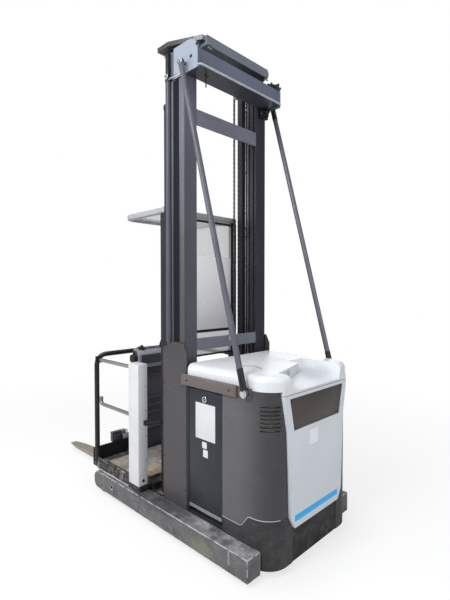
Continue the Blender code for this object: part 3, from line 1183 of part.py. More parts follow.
def gates():
    """White hinge posts and the two-bar gates that swing inwards on a shaft inside them."""
    for label, side in SIDES:
        post = side_box("gate_post_" + label, side, (POST_REAR_X, POST_FRONT_X),
                        (POST_INNER_Y, POST_OUTER_Y), (DECK_TOP_Z + SEAT, POST_TOP_Z), 0.006)
        room = side_box("post_room", side, (POST_REAR_X + POST_WALL, POST_FRONT_X + 0.05),
                        (POST_INNER_Y - 0.05, POST_OUTER_Y - POST_WALL),
                        (DECK_TOP_Z + POST_WALL, POST_TOP_Z - POST_WALL))
        cut(post, room)
        keep(post, "white")
        px, py = GATE_PIVOT
        y = side * py
        shaft = cylinder("gate_" + label, (px, y, (DECK_TOP_Z + POST_TOP_Z) / 2), (0, 0, 1),
                         GATE_SHAFT_RADIUS,
                         POST_TOP_Z - DECK_TOP_Z - 2 * POST_WALL - 2 * SEAT, 20)
        top = tube("top_bar", [(px, y, GATE_BAR_TOP_Z), (GATE_REACH_X, y, GATE_BAR_TOP_Z)], GATE_BAR_RADIUS)
        mid = tube("mid_bar", bent([(px, y, GATE_BAR_MID_Z), (GATE_REACH_X, y, GATE_BAR_MID_Z),
                                    (GATE_REACH_X, y, GATE_BAR_MID_Z + GATE_CURL)], 0.03), GATE_BAR_RADIUS)
        weld(shaft, top, mid)
        keep(shaft, "steel")
        fixed_to(shaft, "gate_axis_" + label, (px, y, 0))


def build():
    start_scene()
    legs()
    load_wheels()
    chassis()
    drive_unit()
    battery()
    body()
    battery_doors()
    hood()
    outer_mast()
    stays()
    inner_mast()
    mast_covers()
    cab_structure()
    cab_front()
    gates()


build()
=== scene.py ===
"""Looks of the order picker truck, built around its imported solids: camera, light, materials and fittings."""
import math

import bmesh
import bpy
from mathutils import Matrix, Vector


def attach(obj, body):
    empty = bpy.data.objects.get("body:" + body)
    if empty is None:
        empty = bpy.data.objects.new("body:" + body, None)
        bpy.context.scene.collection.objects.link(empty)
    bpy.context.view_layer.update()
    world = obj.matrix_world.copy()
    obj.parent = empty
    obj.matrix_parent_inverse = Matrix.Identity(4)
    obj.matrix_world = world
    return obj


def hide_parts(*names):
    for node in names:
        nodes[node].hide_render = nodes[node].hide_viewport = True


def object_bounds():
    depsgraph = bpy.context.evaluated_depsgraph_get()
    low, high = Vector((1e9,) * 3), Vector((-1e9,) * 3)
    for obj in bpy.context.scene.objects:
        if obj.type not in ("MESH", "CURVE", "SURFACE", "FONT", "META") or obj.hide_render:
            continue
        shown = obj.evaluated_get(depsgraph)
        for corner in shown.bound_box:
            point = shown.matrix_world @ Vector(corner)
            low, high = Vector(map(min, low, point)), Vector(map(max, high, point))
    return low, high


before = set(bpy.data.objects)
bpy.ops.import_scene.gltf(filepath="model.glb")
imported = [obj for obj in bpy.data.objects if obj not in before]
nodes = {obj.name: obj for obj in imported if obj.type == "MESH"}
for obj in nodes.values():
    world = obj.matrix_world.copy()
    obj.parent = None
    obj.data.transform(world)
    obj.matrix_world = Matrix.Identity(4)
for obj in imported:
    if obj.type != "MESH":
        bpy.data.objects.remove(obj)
cad_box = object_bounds()
scene = bpy.context.scene
SIDES = (("left", 1), ("right", -1))
BACK, UP = (-1, 0, 0), (0, 0, 1)
TILTED = (-0.28, 0, 1)  # square to the console's sloped panel


def rear(distance):
    """World X of a place that lies this far in front of the rearmost face."""
    return distance + cad_box[0].x


def srgb(red, green, blue):
    """A colour as it looks on a screen, 0 to 255, as linear light."""
    parts = [value / 255 for value in (red, green, blue)]
    return tuple(p / 12.92 if p <= 0.04045 else ((p + 0.055) / 1.055) ** 2.4 for p in parts)


# Camera: rear left of the truck at standing eye height
CAMERA_PLACE = (-2.894, 2.329, 1.7)
CAMERA_YAW = math.radians(45.46)
CAMERA_PITCH = math.radians(1.49)
CAMERA_LENS = 25.33  # millimetres, over a picture 36 mm high
FLOOR_RADIUS = 30.0
SOFT_ANGLE = math.radians(28)  # edges sharper than this stay sharp
camera = bpy.data.objects.new("camera", bpy.data.cameras.new("camera"))
scene.collection.objects.link(camera)
camera.location = CAMERA_PLACE
ahead = Vector((math.cos(CAMERA_YAW) * math.cos(CAMERA_PITCH),
                -math.sin(CAMERA_YAW) * math.cos(CAMERA_PITCH), -math.sin(CAMERA_PITCH)))
camera.rotation_euler = ahead.to_track_quat("-Z", "Y").to_euler()
camera.data.sensor_fit = "VERTICAL"
camera.data.sensor_height = 36.0
camera.data.lens = CAMERA_LENS
scene.camera = camera


class Tree:
    """A short way to write a node tree. A kind without Node in it is a shader node."""

    def __init__(self, tree):
        self.tree = tree
        tree.nodes.clear()

    def add(self, kind, inputs=(), **settings):
        node = self.tree.nodes.new(kind if "Node" in kind else "ShaderNode" + kind)
        for key, value in settings.items():
            setattr(node, key, value)
        for key, value in dict(inputs).items():
            socket = node.inputs[key]
            if isinstance(value, bpy.types.NodeSocket):
                self.tree.links.new(value, socket)
            elif socket.type == "RGBA":
                socket.default_value = (*value, 1.0)
            else:
                socket.default_value = value
        return node

    def math(self, operation, first, second=0.0, clamp=False):
        return self.add("Math", {0: first, 1: second}, operation=operation, use_clamp=clamp).outputs[0]

    def times(self, first, second):
        return self.math("MULTIPLY", first, second)

    def mix(self, share, first, second):
        return self.add("Mix", {0: share, 6: first, 7: second}, data_type="RGBA").outputs[2]

    def ramp(self, value, low, high, to_low=0.0, to_high=1.0):
        return self.add("MapRange", {0: value, 1: low, 2: high, 3: to_low, 4: to_high},
                        interpolation_type="SMOOTHSTEP").outputs[0]

    def noise(self, place, scale, detail=4.0, roughness=0.55):
        return self.add("TexNoise", {"Vector": place, "Scale": scale, "Detail": detail,
                                     "Roughness": roughness}).outputs["Fac"]


def new_material(name):
    """A material of this name and its empty node tree."""
    material = bpy.data.materials.new(name)
    material.use_nodes = True
    return material, Tree(material.node_tree)


def white_rays(tree):
    """1 where the ray comes straight from the camera, or through glass that it looks at."""
    path = tree.add("LightPath")
    return tree.math("MAXIMUM", path.outputs["Is Camera Ray"], path.outputs["Is Transmission Ray"])


def light_scene():
    """Plain soft studio light, a white surround and a pale floor."""
    scene.view_settings.view_transform = "Standard"
    world = bpy.data.worlds.new("studio")
    scene.world = world
    world.use_nodes = True
    t = Tree(world.node_tree)
    lit = t.add("Background", {"Color": (0.9, 0.95, 1.0), "Strength": 0.4})
    seen = t.add("Background", {"Color": (1.0, 1.0, 1.0), "Strength": 1.0})
    both = t.add("MixShader", {0: white_rays(t), 1: lit.outputs[0], 2: seen.outputs[0]})
    t.add("OutputWorld", {"Surface": both.outputs[0]})

    for name, place, size, power, aim in (
            ("key", (-1.0, 5.2, 5.0), 3.0, 290.0, (0, 0, 1.2)),
            ("side", (3.0, 5.0, 3.0), 3.0, 110.0, (0.2, 0.0, 1.2)),
            ("right", (2.2, -5.4, 2.6), 3.0, 36.0, (0, 0, 1.2)),
            ("top", (-0.4, 0.2, 7.5), 2.6, 190.0, (-0.2, 0.0, 1.0)),
            ("fill", (-5.6, 0.9, 3.0), 3.0, 85.0, (-0.6, 0.0, 1.0))):
        lamp = bpy.data.lights.new(name, "AREA")
        lamp.shape = "DISK"
        lamp.size = size
        lamp.energy = power
        holder = bpy.data.objects.new(name, lamp)
        scene.collection.objects.link(holder)
        holder.location = place
        holder.rotation_euler = (Vector(aim) - Vector(place)).to_track_quat("-Z", "Y").to_euler()

    shape = bmesh.new()
    bmesh.ops.create_circle(shape, cap_ends=True, segments=64, radius=FLOOR_RADIUS)
    mesh = bpy.data.meshes.new("floor")
    shape.to_mesh(mesh)
    shape.free()
    floor = bpy.data.objects.new("floor", mesh)
    floor.location.z = cad_box[0].z - 0.002
    scene.collection.objects.link(floor)
    material, t = new_material("floor")
    place = t.add("TexCoord").outputs["Object"]
    away = t.add("VectorMath", {0: place}, operation="LENGTH").outputs["Value"]
    share = t.times(white_rays(t), t.ramp(away, 1.2, 5.0, 0.72, 1.0))
    paint = t.add("BsdfPrincipled", {"Base Color": (0.8, 0.8, 0.8), "Roughness": 0.9})
    glow = t.add("Emission", {"Color": (1.0, 1.0, 1.0), "Strength": 1.0})
    both = t.add("MixShader", {0: share, 1: paint.outputs[0], 2: glow.outputs[0]})
    t.add("OutputMaterial", {"Surface": both.outputs[0]})
    mesh.materials.append(material)


light_scene()


def layer(given, plain):
    """Share and colour of a layer: given as a share alone, or with a colour as on a screen."""
    if isinstance(given, tuple):
        return given[0], srgb(*given[1])
    return given, plain


def surface(name, colour, rough=0.38, metal=0.0, tone=0.08, tone_scale=3, speck=0.05, dust=0.0, wear_and_highlight=0.0,
            grime=0.0, scuff=0.0, grain=0.15, grain_scale=420, edge=0.0025, coat=0.0, specular=0.5,
            shade=None, tail=None, marks=(), stains_and_shade=(), patch=0.0, patch_scale=16, under=0.0):
    """A painted or bare surface: uneven tone, fine grain, dust on top, grime low down, worn edges, scuffs.

    shade is (high, low, share): painted shade, darker towards the low height, and tail is the same along X,
    darker towards the rear. Each of marks is a box, by two corners, and the colour inside it.
    Each of stains is a soft ragged spot, used for real dirt and for painted shade: middle, reach, colour and
    share.
    patch lays blotches over it, and under is painted shade on what faces down.
    dust, wear, scuff and patch are shares, or each a share and a colour.
    """
    colour = srgb(*colour)
    dust, dust_colour = layer(dust, (0.3, 0.27, 0.23))
    wear_and_highlight, wear_and_highlight_colour = layer(wear_and_highlight, (0.5, 0.5, 0.5))
    scuff, scuff_colour = layer(scuff, (0.22, 0.22, 0.22))
    patch, patch_colour = layer(patch, (0.3, 0.3, 0.3))
    material, t = new_material(name)
    coords = t.add("TexCoord")
    place = coords.outputs["Object"]
    axes = t.add("SeparateXYZ", {0: place}).outputs
    height = axes["Z"]
    up = t.add("SeparateXYZ", {0: coords.outputs["Normal"]}).outputs["Z"]
    darker = tuple(c * (1 - tone) for c in colour)
    lighter = tuple(min(1.0, c * (1 + tone)) for c in colour)
    broad = t.noise(place, tone_scale, 6.0, 0.6)
    fine = t.noise(place, 85.0, 5.0, 0.7)
    paint = t.mix(t.ramp(broad, 0.32, 0.68), darker, lighter)
    specks = t.times(t.ramp(fine, 0.35, 0.75), speck * 4)
    paint = t.mix(specks, paint, tuple(c * 0.55 for c in colour))
    roughness = t.ramp(broad, 0.25, 0.75, rough - 0.06, rough + 0.1)
    # Painted shade: darker towards the low height.
    if shade:
        paint = t.mix(t.ramp(height, shade[0], shade[1], 0.0, shade[2]), paint, (sum(colour) * 0.145,) * 3)
    # Painted shade: darker towards the rear along X.
    if tail:
        along = t.ramp(axes["X"], tail[0], tail[1], 0.0, tail[2])
        paint = t.mix(along, paint, tuple(c * 0.3 for c in colour))
    if patch:
        blots = t.times(t.ramp(t.noise(place, patch_scale, 9.0, 0.72), 0.5, 0.6),
                        t.ramp(t.noise(place, patch_scale * 0.3, 3.0), 0.36, 0.56))
        paint = t.mix(t.times(blots, patch), paint, patch_colour)
    # Painted shade on faces that look down.
    if under:
        paint = t.mix(t.ramp(up, -0.5, -0.9, 0.0, under), paint, srgb(34, 31, 28))
    for first, last, mark in marks:
        share = 1.0
        for axis, start, end in zip(axes, first, last):
            inside = t.times(t.math("GREATER_THAN", axis, start), t.math("LESS_THAN", axis, end))
            share = t.times(share, inside)
        paint = t.mix(share, paint, srgb(*mark))
    if dust:
        lying = t.times(t.ramp(up, 0.55, 0.95), t.ramp(t.noise(place, 9.0, 8.0, 0.65), 0.3, 0.75))
        lying = t.times(lying, dust)
        paint = t.mix(lying, paint, dust_colour)
        roughness = t.math("ADD", roughness, t.times(lying, 0.35))
    # Soft ragged spots: real dirt, and painted shade where a spot stands for it.
    for middle, reach, spot_colour, share in stains_and_shade:
        offset = t.add("VectorMath", {0: place, 1: middle}, operation="SUBTRACT").outputs[0]
        scaled = t.add("VectorMath", {0: offset, 1: reach}, operation="DIVIDE").outputs[0]
        far = t.add("VectorMath", {0: scaled}, operation="LENGTH").outputs["Value"]
        ragged = t.math("ADD", far, t.noise(place, 16.0, 6.0, 0.7))
        paint = t.mix(t.ramp(ragged, 1.6, 0.9, 0.0, share), paint, srgb(*spot_colour))
    if grime:
        spots = t.ramp(t.noise(place, 14.0, 8.0, 0.7), 0.42, 0.66)
        low = t.times(t.times(t.ramp(height, 0.42, 0.03), spots), grime)
        paint = t.mix(low, paint, (0.115, 0.1, 0.08))
        roughness = t.math("ADD", roughness, t.times(low, 0.25))
    if scuff:
        drawn = t.add("Mapping", {"Vector": place, "Scale": (3.0, 26.0, 60.0)}).outputs[0]
        lines = t.times(t.ramp(t.noise(drawn, 2.2, 7.0, 0.75), 0.52, 0.62),
                        t.ramp(t.noise(place, 4.0, 3.0), 0.42, 0.6))
        paint = t.mix(t.times(lines, scuff), paint, scuff_colour)
    normal = t.add("Bevel", {"Radius": edge}, samples=4).outputs[0]
    # Pale worn edges; on the legs they are also a painted highlight along the top edge.
    if wear_and_highlight:
        flat = t.add("NewGeometry").outputs["Normal"]
        bent = t.add("VectorMath", {0: normal, 1: flat}, operation="DOT_PRODUCT").outputs["Value"]
        worn = t.times(t.ramp(bent, 0.985, 0.9), t.ramp(t.noise(place, 22.0, 6.0, 0.7), 0.4, 0.6))
        paint = t.mix(t.times(worn, wear_and_highlight), paint, wear_and_highlight_colour)
    bump = t.add("Bump", {"Strength": grain, "Distance": 0.0006, "Height": t.noise(place, grain_scale, 3.0),
                          "Normal": normal}).outputs[0]
    shader = t.add("BsdfPrincipled", {
        "Base Color": paint, "Roughness": roughness, "Metallic": metal, "Normal": bump,
        "Coat Weight": coat, "Coat Roughness": 0.18, "Specular IOR Level": specular})
    t.add("OutputMaterial", {"Surface": shader.outputs[0]})
    return material


def clear(name, colour, rough, alpha, tone=0.06):
    """A pale clear sheet with light scratches, as seen through thin plastic."""
    material, t = new_material(name)
    place = t.add("TexCoord").outputs["Object"]
    drawn = t.add("Mapping", {"Vector": place, "Scale": (40.0, 4.0, 9.0)}).outputs[0]
    colour = srgb(*colour)
    marks = t.ramp(t.noise(drawn, 3.0, 8.0, 0.75), 0.56, 0.76)
    broad = t.noise(place, 5.0, 5.0)
    tint = t.mix(broad, tuple(c * (1 - tone) for c in colour), colour)
    cloud = t.math("ADD", alpha, t.times(marks, 0.18), clamp=True)
    dull = t.ramp(marks, 0.0, 1.0, rough, rough + 0.3)
    solid = t.add("BsdfPrincipled", {"Base Color": tint, "Roughness": dull, "Specular IOR Level": 0.5})
    open_air = t.add("BsdfTransparent", {"Color": (0.97, 0.98, 0.98)})
    both = t.add("MixShader", {0: cloud, 1: open_air.outputs[0], 2: solid.outputs[0]})
    t.add("OutputMaterial", {"Surface": both.outputs[0]})
    return material


MATERIALS = {
    # Shell: tail is painted shade, darker towards the rear corner.
    "shell": surface("shell_paint", (84, 83, 86), 0.36, tone=0.07, dust=0.35, wear_and_highlight=0.35, grime=0.35,
        scuff=0.1, grain=0.1, coat=0.06, specular=0.22, tail=(rear(0.3), rear(0.03), 0.75)),
    "plain_shell": surface("mast_cover_paint", (68, 65, 67), dust=0.35, wear_and_highlight=0.35, grime=0.3, scuff=0.1,
        grain=0.1, coat=0.06, specular=0.22),
    # Legs: the second soft spot is a painted shadow on the tops near the mast; the pale edges are worn paint
    # and, along the top edge, a painted highlight.
    "leg": surface("leg_paint", (92, 92, 96), 0.42, tone=0.3, tone_scale=9, speck=0.12,
        dust=(1.0, (172, 173, 178)), wear_and_highlight=(1.8, (216, 216, 220)), grime=0.75, scuff=(0.22, (176, 176, 178)),
        grain=0.3, edge=0.011, specular=0.3,
        stains_and_shade=(((rear(0.5), 0.57, 0.075), (0.16, 0.2, 0.06), (112, 113, 80), 0.5),
            ((rear(1.0), 0.0, 0.175), (0.46, 9.0, 0.055), (58, 60, 68), 0.9)), patch=(0.8, (50, 49, 50)),
        patch_scale=15),
    "chassis": surface("chassis_paint", (52, 52, 56), 0.5, tone=0.15, dust=0.4, wear_and_highlight=0.3, grime=0.5),
    "black": surface("black_paint", (28, 28, 31), 0.42, tone=0.15, dust=0.2,
        wear_and_highlight=(0.14, (120, 120, 122)), grime=0.3, scuff=0.15, specular=0.3),
    "skirt_black": surface("skirt_black", (22, 22, 24), 0.5, tone=0.14, wear_and_highlight=0.2, grime=0.45,
        scuff=0.2, specular=0.2),
    # Mast paint: shade and under are painted shade, darker low down and on faces that look down.
    "mast": surface("mast_paint", (92, 94, 105), tone_scale=2, dust=0.2, wear_and_highlight=(0.55, (160, 162, 170)),
        scuff=0.08, grain=0.12, specular=0.3, shade=(2.95, 1.5, 0.45), under=0.75),
    "stay": surface("stay_paint", (82, 83, 94), 0.34, tone_scale=4, wear_and_highlight=(0.4, (170, 172, 180)),
        scuff=(0.15, (150, 152, 160)), grain=0.08, specular=0.35),
    # A darker copy of the mast paint: painted shade on the right outer upright, the inner uprights and the
    # inner crossbar.
    "mast_shadow": surface("mast_shadow", (50, 50, 57), 0.42, tone=0.1, tone_scale=2, dust=0.2,
        wear_and_highlight=(0.4, (120, 122, 130)), scuff=0.15, grain=0.12, specular=0.2, shade=(2.9, 1.6, 0.25)),
    # Near black for the recess between the flanges: painted shade.
    "mast_dark": surface("mast_recess", (30, 31, 40), 0.5, tone=0.1, tone_scale=2, grain=0.08,
        edge=0.0005, specular=0.05, shade=(2.9, 1.6, 0.3)),
    # Head: under is painted shade on faces that look down.
    "head": surface("head_paint", (100, 106, 122), 0.36, dust=0.2, wear_and_highlight=(0.6, (164, 168, 178)),
        scuff=0.1, grain=0.12, specular=0.35,
        marks=(((rear(0.6), 0.4474, 3.16), (rear(0.95), 0.45, 3.4), (146, 154, 168)),
            ((rear(0.6), -0.45, 3.16), (rear(0.95), -0.4474, 3.4), (146, 154, 168))), under=0.8),
    # Inner head: under is painted shade on faces that look down.
    "inner_head": surface("inner_head_paint", (112, 117, 128), 0.36, wear_and_highlight=(0.5, (176, 180, 188)),
        grain=0.12, specular=0.35, marks=(((rear(0.757), -0.6, 3.37), (rear(1.2), 0.6, 3.5), (60, 59, 63)),),
        under=0.8),
    # Skirt: tail is painted shade, darker towards the rear.
    "skirt": surface("skirt_paint", (52, 52, 55), 0.42, tone=0.1, dust=0.3, wear_and_highlight=0.35, grime=0.3,
        scuff=0.12, grain=0.1, specular=0.22, tail=(rear(0.3), rear(0.03), 0.35)),
    "column": surface("column_grey", (70, 68, 78), 0.5, dust=0.25, wear_and_highlight=0.3, grain=0.2),
    "cross": surface("crossbar_paint", (112, 114, 126), tone_scale=2, dust=0.2,
        wear_and_highlight=(0.5, (160, 162, 170)), scuff=0.08, grain=0.12, specular=0.3),
    "deck": surface("deck_black", (36, 36, 38), 0.5, tone=0.2, dust=(0.5, (112, 104, 94)),
        wear_and_highlight=(0.6, (140, 140, 142)), grime=0.2, scuff=(0.4, (120, 116, 110)), specular=0.25,
        patch=(0.9, (146, 136, 128)), patch_scale=26),
    # Pale paint for the lip edge of the head: a painted highlight.
    "lip": surface("lip_painted_highlight", (176, 180, 188), 0.36, metal=0.2, tone=0.12, tone_scale=14,
        speck=0.08, grain=0.1, edge=0.0008),
    # A lighter copy of the mast paint for the rolled flange edges: painted highlight, and painted shade lower
    # down.
    "mast_edge": surface("mast_edge", (104, 106, 116), 0.32, tone=0.06, tone_scale=2,
        wear_and_highlight=(0.3, (160, 162, 170)), scuff=0.08, grain=0.08, edge=0.001, specular=0.22,
        shade=(2.9, 1.9, 1.0)),
    "mast_light": surface("mast_light", (118, 122, 132), tone=0.06, dust=0.2, wear_and_highlight=(0.4, (180, 182, 190)),
        grain=0.12),
    "pipe": surface("pipe_paint", (74, 76, 88), wear_and_highlight=(0.3, (160, 162, 170)), scuff=0.2, grain=0.1,
        specular=0.3),
    # Hood: the soft spot is painted shade in the valley of the hood.
    "white": surface("cover_white", (204, 207, 211), 0.34, tone=0.025, speck=0.01,
        dust=(0.1, (176, 174, 168)), wear_and_highlight=(0.15, (150, 150, 150)), grime=0.1, grain=0.1, coat=0.08,
        specular=0.4, stains_and_shade=(((rear(0.17), -0.19, 1.08), (0.14, 0.22, 0.1), (168, 171, 176), 0.6),)),
    "post": surface("post_white", (196, 196, 198), 0.4, tone=0.04, speck=0.02, dust=0.2,
        wear_and_highlight=(0.4, (120, 120, 118)), grime=0.2, scuff=(0.12, (130, 128, 124)), specular=0.2),
    "door": surface("door_paint", (36, 40, 46), wear_and_highlight=0.4, grime=0.25, scuff=(0.12, (96, 102, 108)),
        specular=0.25),
    "bar": surface("bar_paint", (88, 80, 76), 0.4, dust=0.4, wear_and_highlight=(0.5, (150, 144, 138))),
    "battery": surface("battery_grey", (70, 71, 72), 0.6, tone=0.12, dust=0.5, wear_and_highlight=0.5),
    "steel": surface("plated_steel", (176, 174, 170), 0.3, metal=0.9, speck=0.06,
        scuff=(0.25, (110, 104, 96))),
    "gate": surface("gate_steel", (138, 133, 128), 0.36, metal=0.55, scuff=(0.3, (96, 90, 84))),
    "chain": surface("chain_steel", (118, 116, 114), metal=0.85, tone=0.25, tone_scale=20, speck=0.12,
        grime=0.3),
    "tyre": surface("wheel_tyre", (84, 64, 44), 0.62, tone=0.15, tone_scale=14, dust=0.5,
        wear_and_highlight=(0.5, (130, 112, 88)), grime=0.6, grain=0.4),
    "mat": surface("floor_mat", (132, 127, 122), 0.88, tone=0.4, tone_scale=7, speck=0.14,
        dust=(0.45, (160, 148, 132)), scuff=(0.8, (70, 64, 60)), grain=0.8, grain_scale=160,
        stains_and_shade=(((rear(1.35), 0.27, 0.24), (0.12, 0.2, 0.1), (190, 168, 142), 0.7),
            ((rear(1.62), 0.1, 0.24), (0.16, 0.22, 0.1), (98, 88, 80), 0.35)), patch=(0.9, (186, 182, 178)),
        patch_scale=30),
    "guard": surface("guard_grey", (156, 156, 158), 0.45, tone=0.05, dust=0.3,
        wear_and_highlight=(0.3, (120, 120, 120))),
    "console": surface("console_plastic", (134, 134, 144), 0.5, tone=0.07, dust=0.35, wear_and_highlight=0.2,
        grain=0.5, grain_scale=700),
    "fork": surface("fork_steel", (150, 143, 130), 0.48, metal=0.35, tone=0.12, tone_scale=8,
        speck=0.1, wear_and_highlight=(0.6, (120, 112, 100)), scuff=(0.6, (112, 104, 92)), grain=0.3),
    "pane": clear("clear_pane", (232, 232, 232), 0.18, 0.46),
    "lilac": clear("lilac_film", (255, 253, 255), 0.25, 0.96, 0.02),
    # Rear cover: shade is painted shade, darker towards the bottom.
    "cover": surface("rear_cover_white", (196, 200, 205), 0.34, tone=0.025, speck=0.01,
        dust=(0.1, (176, 174, 168)), wear_and_highlight=(0.15, (150, 150, 150)), grime=0.18, grain=0.1, coat=0.04,
        specular=0.3, shade=(0.8, 0.3, 0.1),
        marks=(((rear(-0.01), -0.24, 0.3), (rear(0.003), 0.253, 0.339), (0, 158, 222)),
            ((rear(-0.01), 0.004, 0.728), (rear(0.003), 0.096, 0.821), (216, 218, 226)))),
    "bead": surface("seam_bead", (176, 178, 180), 0.45, tone=0.12, tone_scale=12, speck=0.1,
        grime=0.3, edge=0.0005),
    "strip": surface("foot_strip", (122, 126, 130), 0.42, tone=0.1, speck=0.08, grime=0.4,
        scuff=(0.3, (70, 72, 76)), edge=0.0008),
    "brown": surface("recess_brown", (60, 50, 48), 0.48, tone=0.1, tone_scale=6, dust=0.2,
        wear_and_highlight=(0.3, (120, 112, 106)), scuff=(0.35, (112, 102, 98)), edge=0.001),
    # Near black for dark parts, and painted shade in holes, in gaps and behind the louvres.
    "hole": surface("dark_gap", (22, 22, 24), 0.75, tone=0.25, speck=0.1, edge=0.0005),
    "bright": surface("zinc_steel", (196, 196, 194), 0.28, metal=0.85, tone=0.1, tone_scale=30,
        speck=0.06, grime=0.2, edge=0.0008),
    "rubber": surface("black_rubber", (30, 30, 32), 0.7, tone=0.15, tone_scale=9,
        dust=(0.4, (96, 88, 78)), scuff=(0.2, (66, 62, 58)), grain=0.4, edge=0.001),
    "label": surface("blank_label", (198, 199, 200), 0.42, tone=0.03, speck=0.03,
        wear_and_highlight=(0.2, (170, 168, 160)), scuff=(0.12, (168, 166, 160)), grain=0.05, edge=0.0004),
    "label_red": surface("worn_red_label", (196, 132, 120), 0.45, tone=0.15, tone_scale=30,
        speck=0.1, grain=0.05, edge=0.0004),
    "orange": surface("orange_label", (214, 122, 46), 0.45, speck=0.06, grain=0.05, edge=0.0004),
    "red": surface("red_plastic", (168, 34, 28), dust=0.2, grain=0.1, edge=0.001),
    "purple": surface("grey_violet_plastic", (68, 63, 76), 0.5, dust=0.3, wear_and_highlight=0.3, edge=0.0015),
    "panel": surface("dark_panel", (62, 62, 70), 0.42, tone=0.06, dust=0.25, grain=0.3,
        grain_scale=700, edge=0.0008),
    "display": surface("blank_display", (26, 32, 34), 0.16, tone=0.05, speck=0.02, dust=0.2,
        grain=0.02, edge=0.0008, coat=0.6),
    "battery_lid": surface("cell_lid", (52, 54, 56), 0.55, tone=0.1, dust=0.5, wear_and_highlight=0.2, edge=0.0015),
    "cap": surface("cell_cap", (196, 176, 92), 0.5, dust=0.4, edge=0.001),
    "lead": surface("lead_strap", (120, 122, 124), 0.6, metal=0.5, tone=0.15, speck=0.15, dust=0.4,
        edge=0.001),
}

# Looks of the solids: each word stands for a node, or for its left and right one
NODE_LOOK = {
    "leg": "support_leg",
    "chassis": "chassis_frame",
    "shell": "side_shell",
    "plain_shell": "mast_cover",
    "skirt": "skirt",
    "stay": "stay",
    "skirt_black": "skirt_centre",
    "black": "cab_carriage fork_carriage front_rail",
    "column": "front_column",
    "hole": "lift_cylinder guard_pillar",
    "mast": "outer_upright_left",
    "cross": "mast_crossbar_upper mast_crossbar_lower",
    "head": "mast_head",
    "mast_shadow": "outer_upright_right inner_upright inner_crossbar",
    "inner_head": "inner_head",
    "deck": "cab_floor",
    "white": "hood",
    "cover": "rear_cover",
    "post": "gate_post",
    "door": "battery_door",
    "bar": "side_bar",
    "battery": "battery drive_motor",
    "steel": "steer_yoke lift_rod",
    "gate": "gate",
    "chain": "lift_chain",
    "tyre": "drive_wheel load_wheel",
    "mat": "floor_mat",
    "guard": "overhead_guard",
    "pane": "guard_pane back_screen",
    "console": "console",
    "fork": "fork",
}


def smooth_group():
    """A modifier that shades the CAD solids smoothly up to sharp edges, with no change to their shape."""
    group = bpy.data.node_groups.new("soft_shading", "GeometryNodeTree")
    group.interface.new_socket("Mesh", in_out="INPUT", socket_type="NodeSocketGeometry")
    group.interface.new_socket("Mesh", in_out="OUTPUT", socket_type="NodeSocketGeometry")
    t = Tree(group)
    given = t.add("NodeGroupInput").outputs[0]
    plain = t.add("GeometryNodeRemoveAttribute", {"Geometry": given, "Name": "custom_normal"}).outputs[0]
    joined = t.add("GeometryNodeMergeByDistance", {"Geometry": plain, "Distance": 0.00002}).outputs[0]
    angle = t.add("GeometryNodeInputMeshEdgeAngle").outputs["Unsigned Angle"]
    sharp = t.add("FunctionNodeCompare", {0: angle, 1: SOFT_ANGLE}, data_type="FLOAT",
                  operation="LESS_THAN").outputs[0]
    edges = t.add("GeometryNodeSetShadeSmooth", {"Geometry": joined, "Shade Smooth": sharp},
                  domain="EDGE").outputs[0]
    faces = t.add("GeometryNodeSetShadeSmooth", {"Geometry": edges, "Shade Smooth": True},
                  domain="FACE").outputs[0]
    t.add("NodeGroupOutput", {0: faces})
    return group


soft = smooth_group()
for look, stems in NODE_LOOK.items():
    for name in [stem + end for stem in stems.split() for end in ("", "_left", "_right")]:
        if name in nodes:
            for slot in nodes[name].material_slots:
                slot.material = MATERIALS[look]
            nodes[name].modifiers.new("shading", "NODES").node_group = soft


PLANES = {"XZ": lambda a, b, c: (a, c, b), "XY": lambda a, b, c: (a, b, c), "YZ": lambda a, b, c: (c, a, b)}


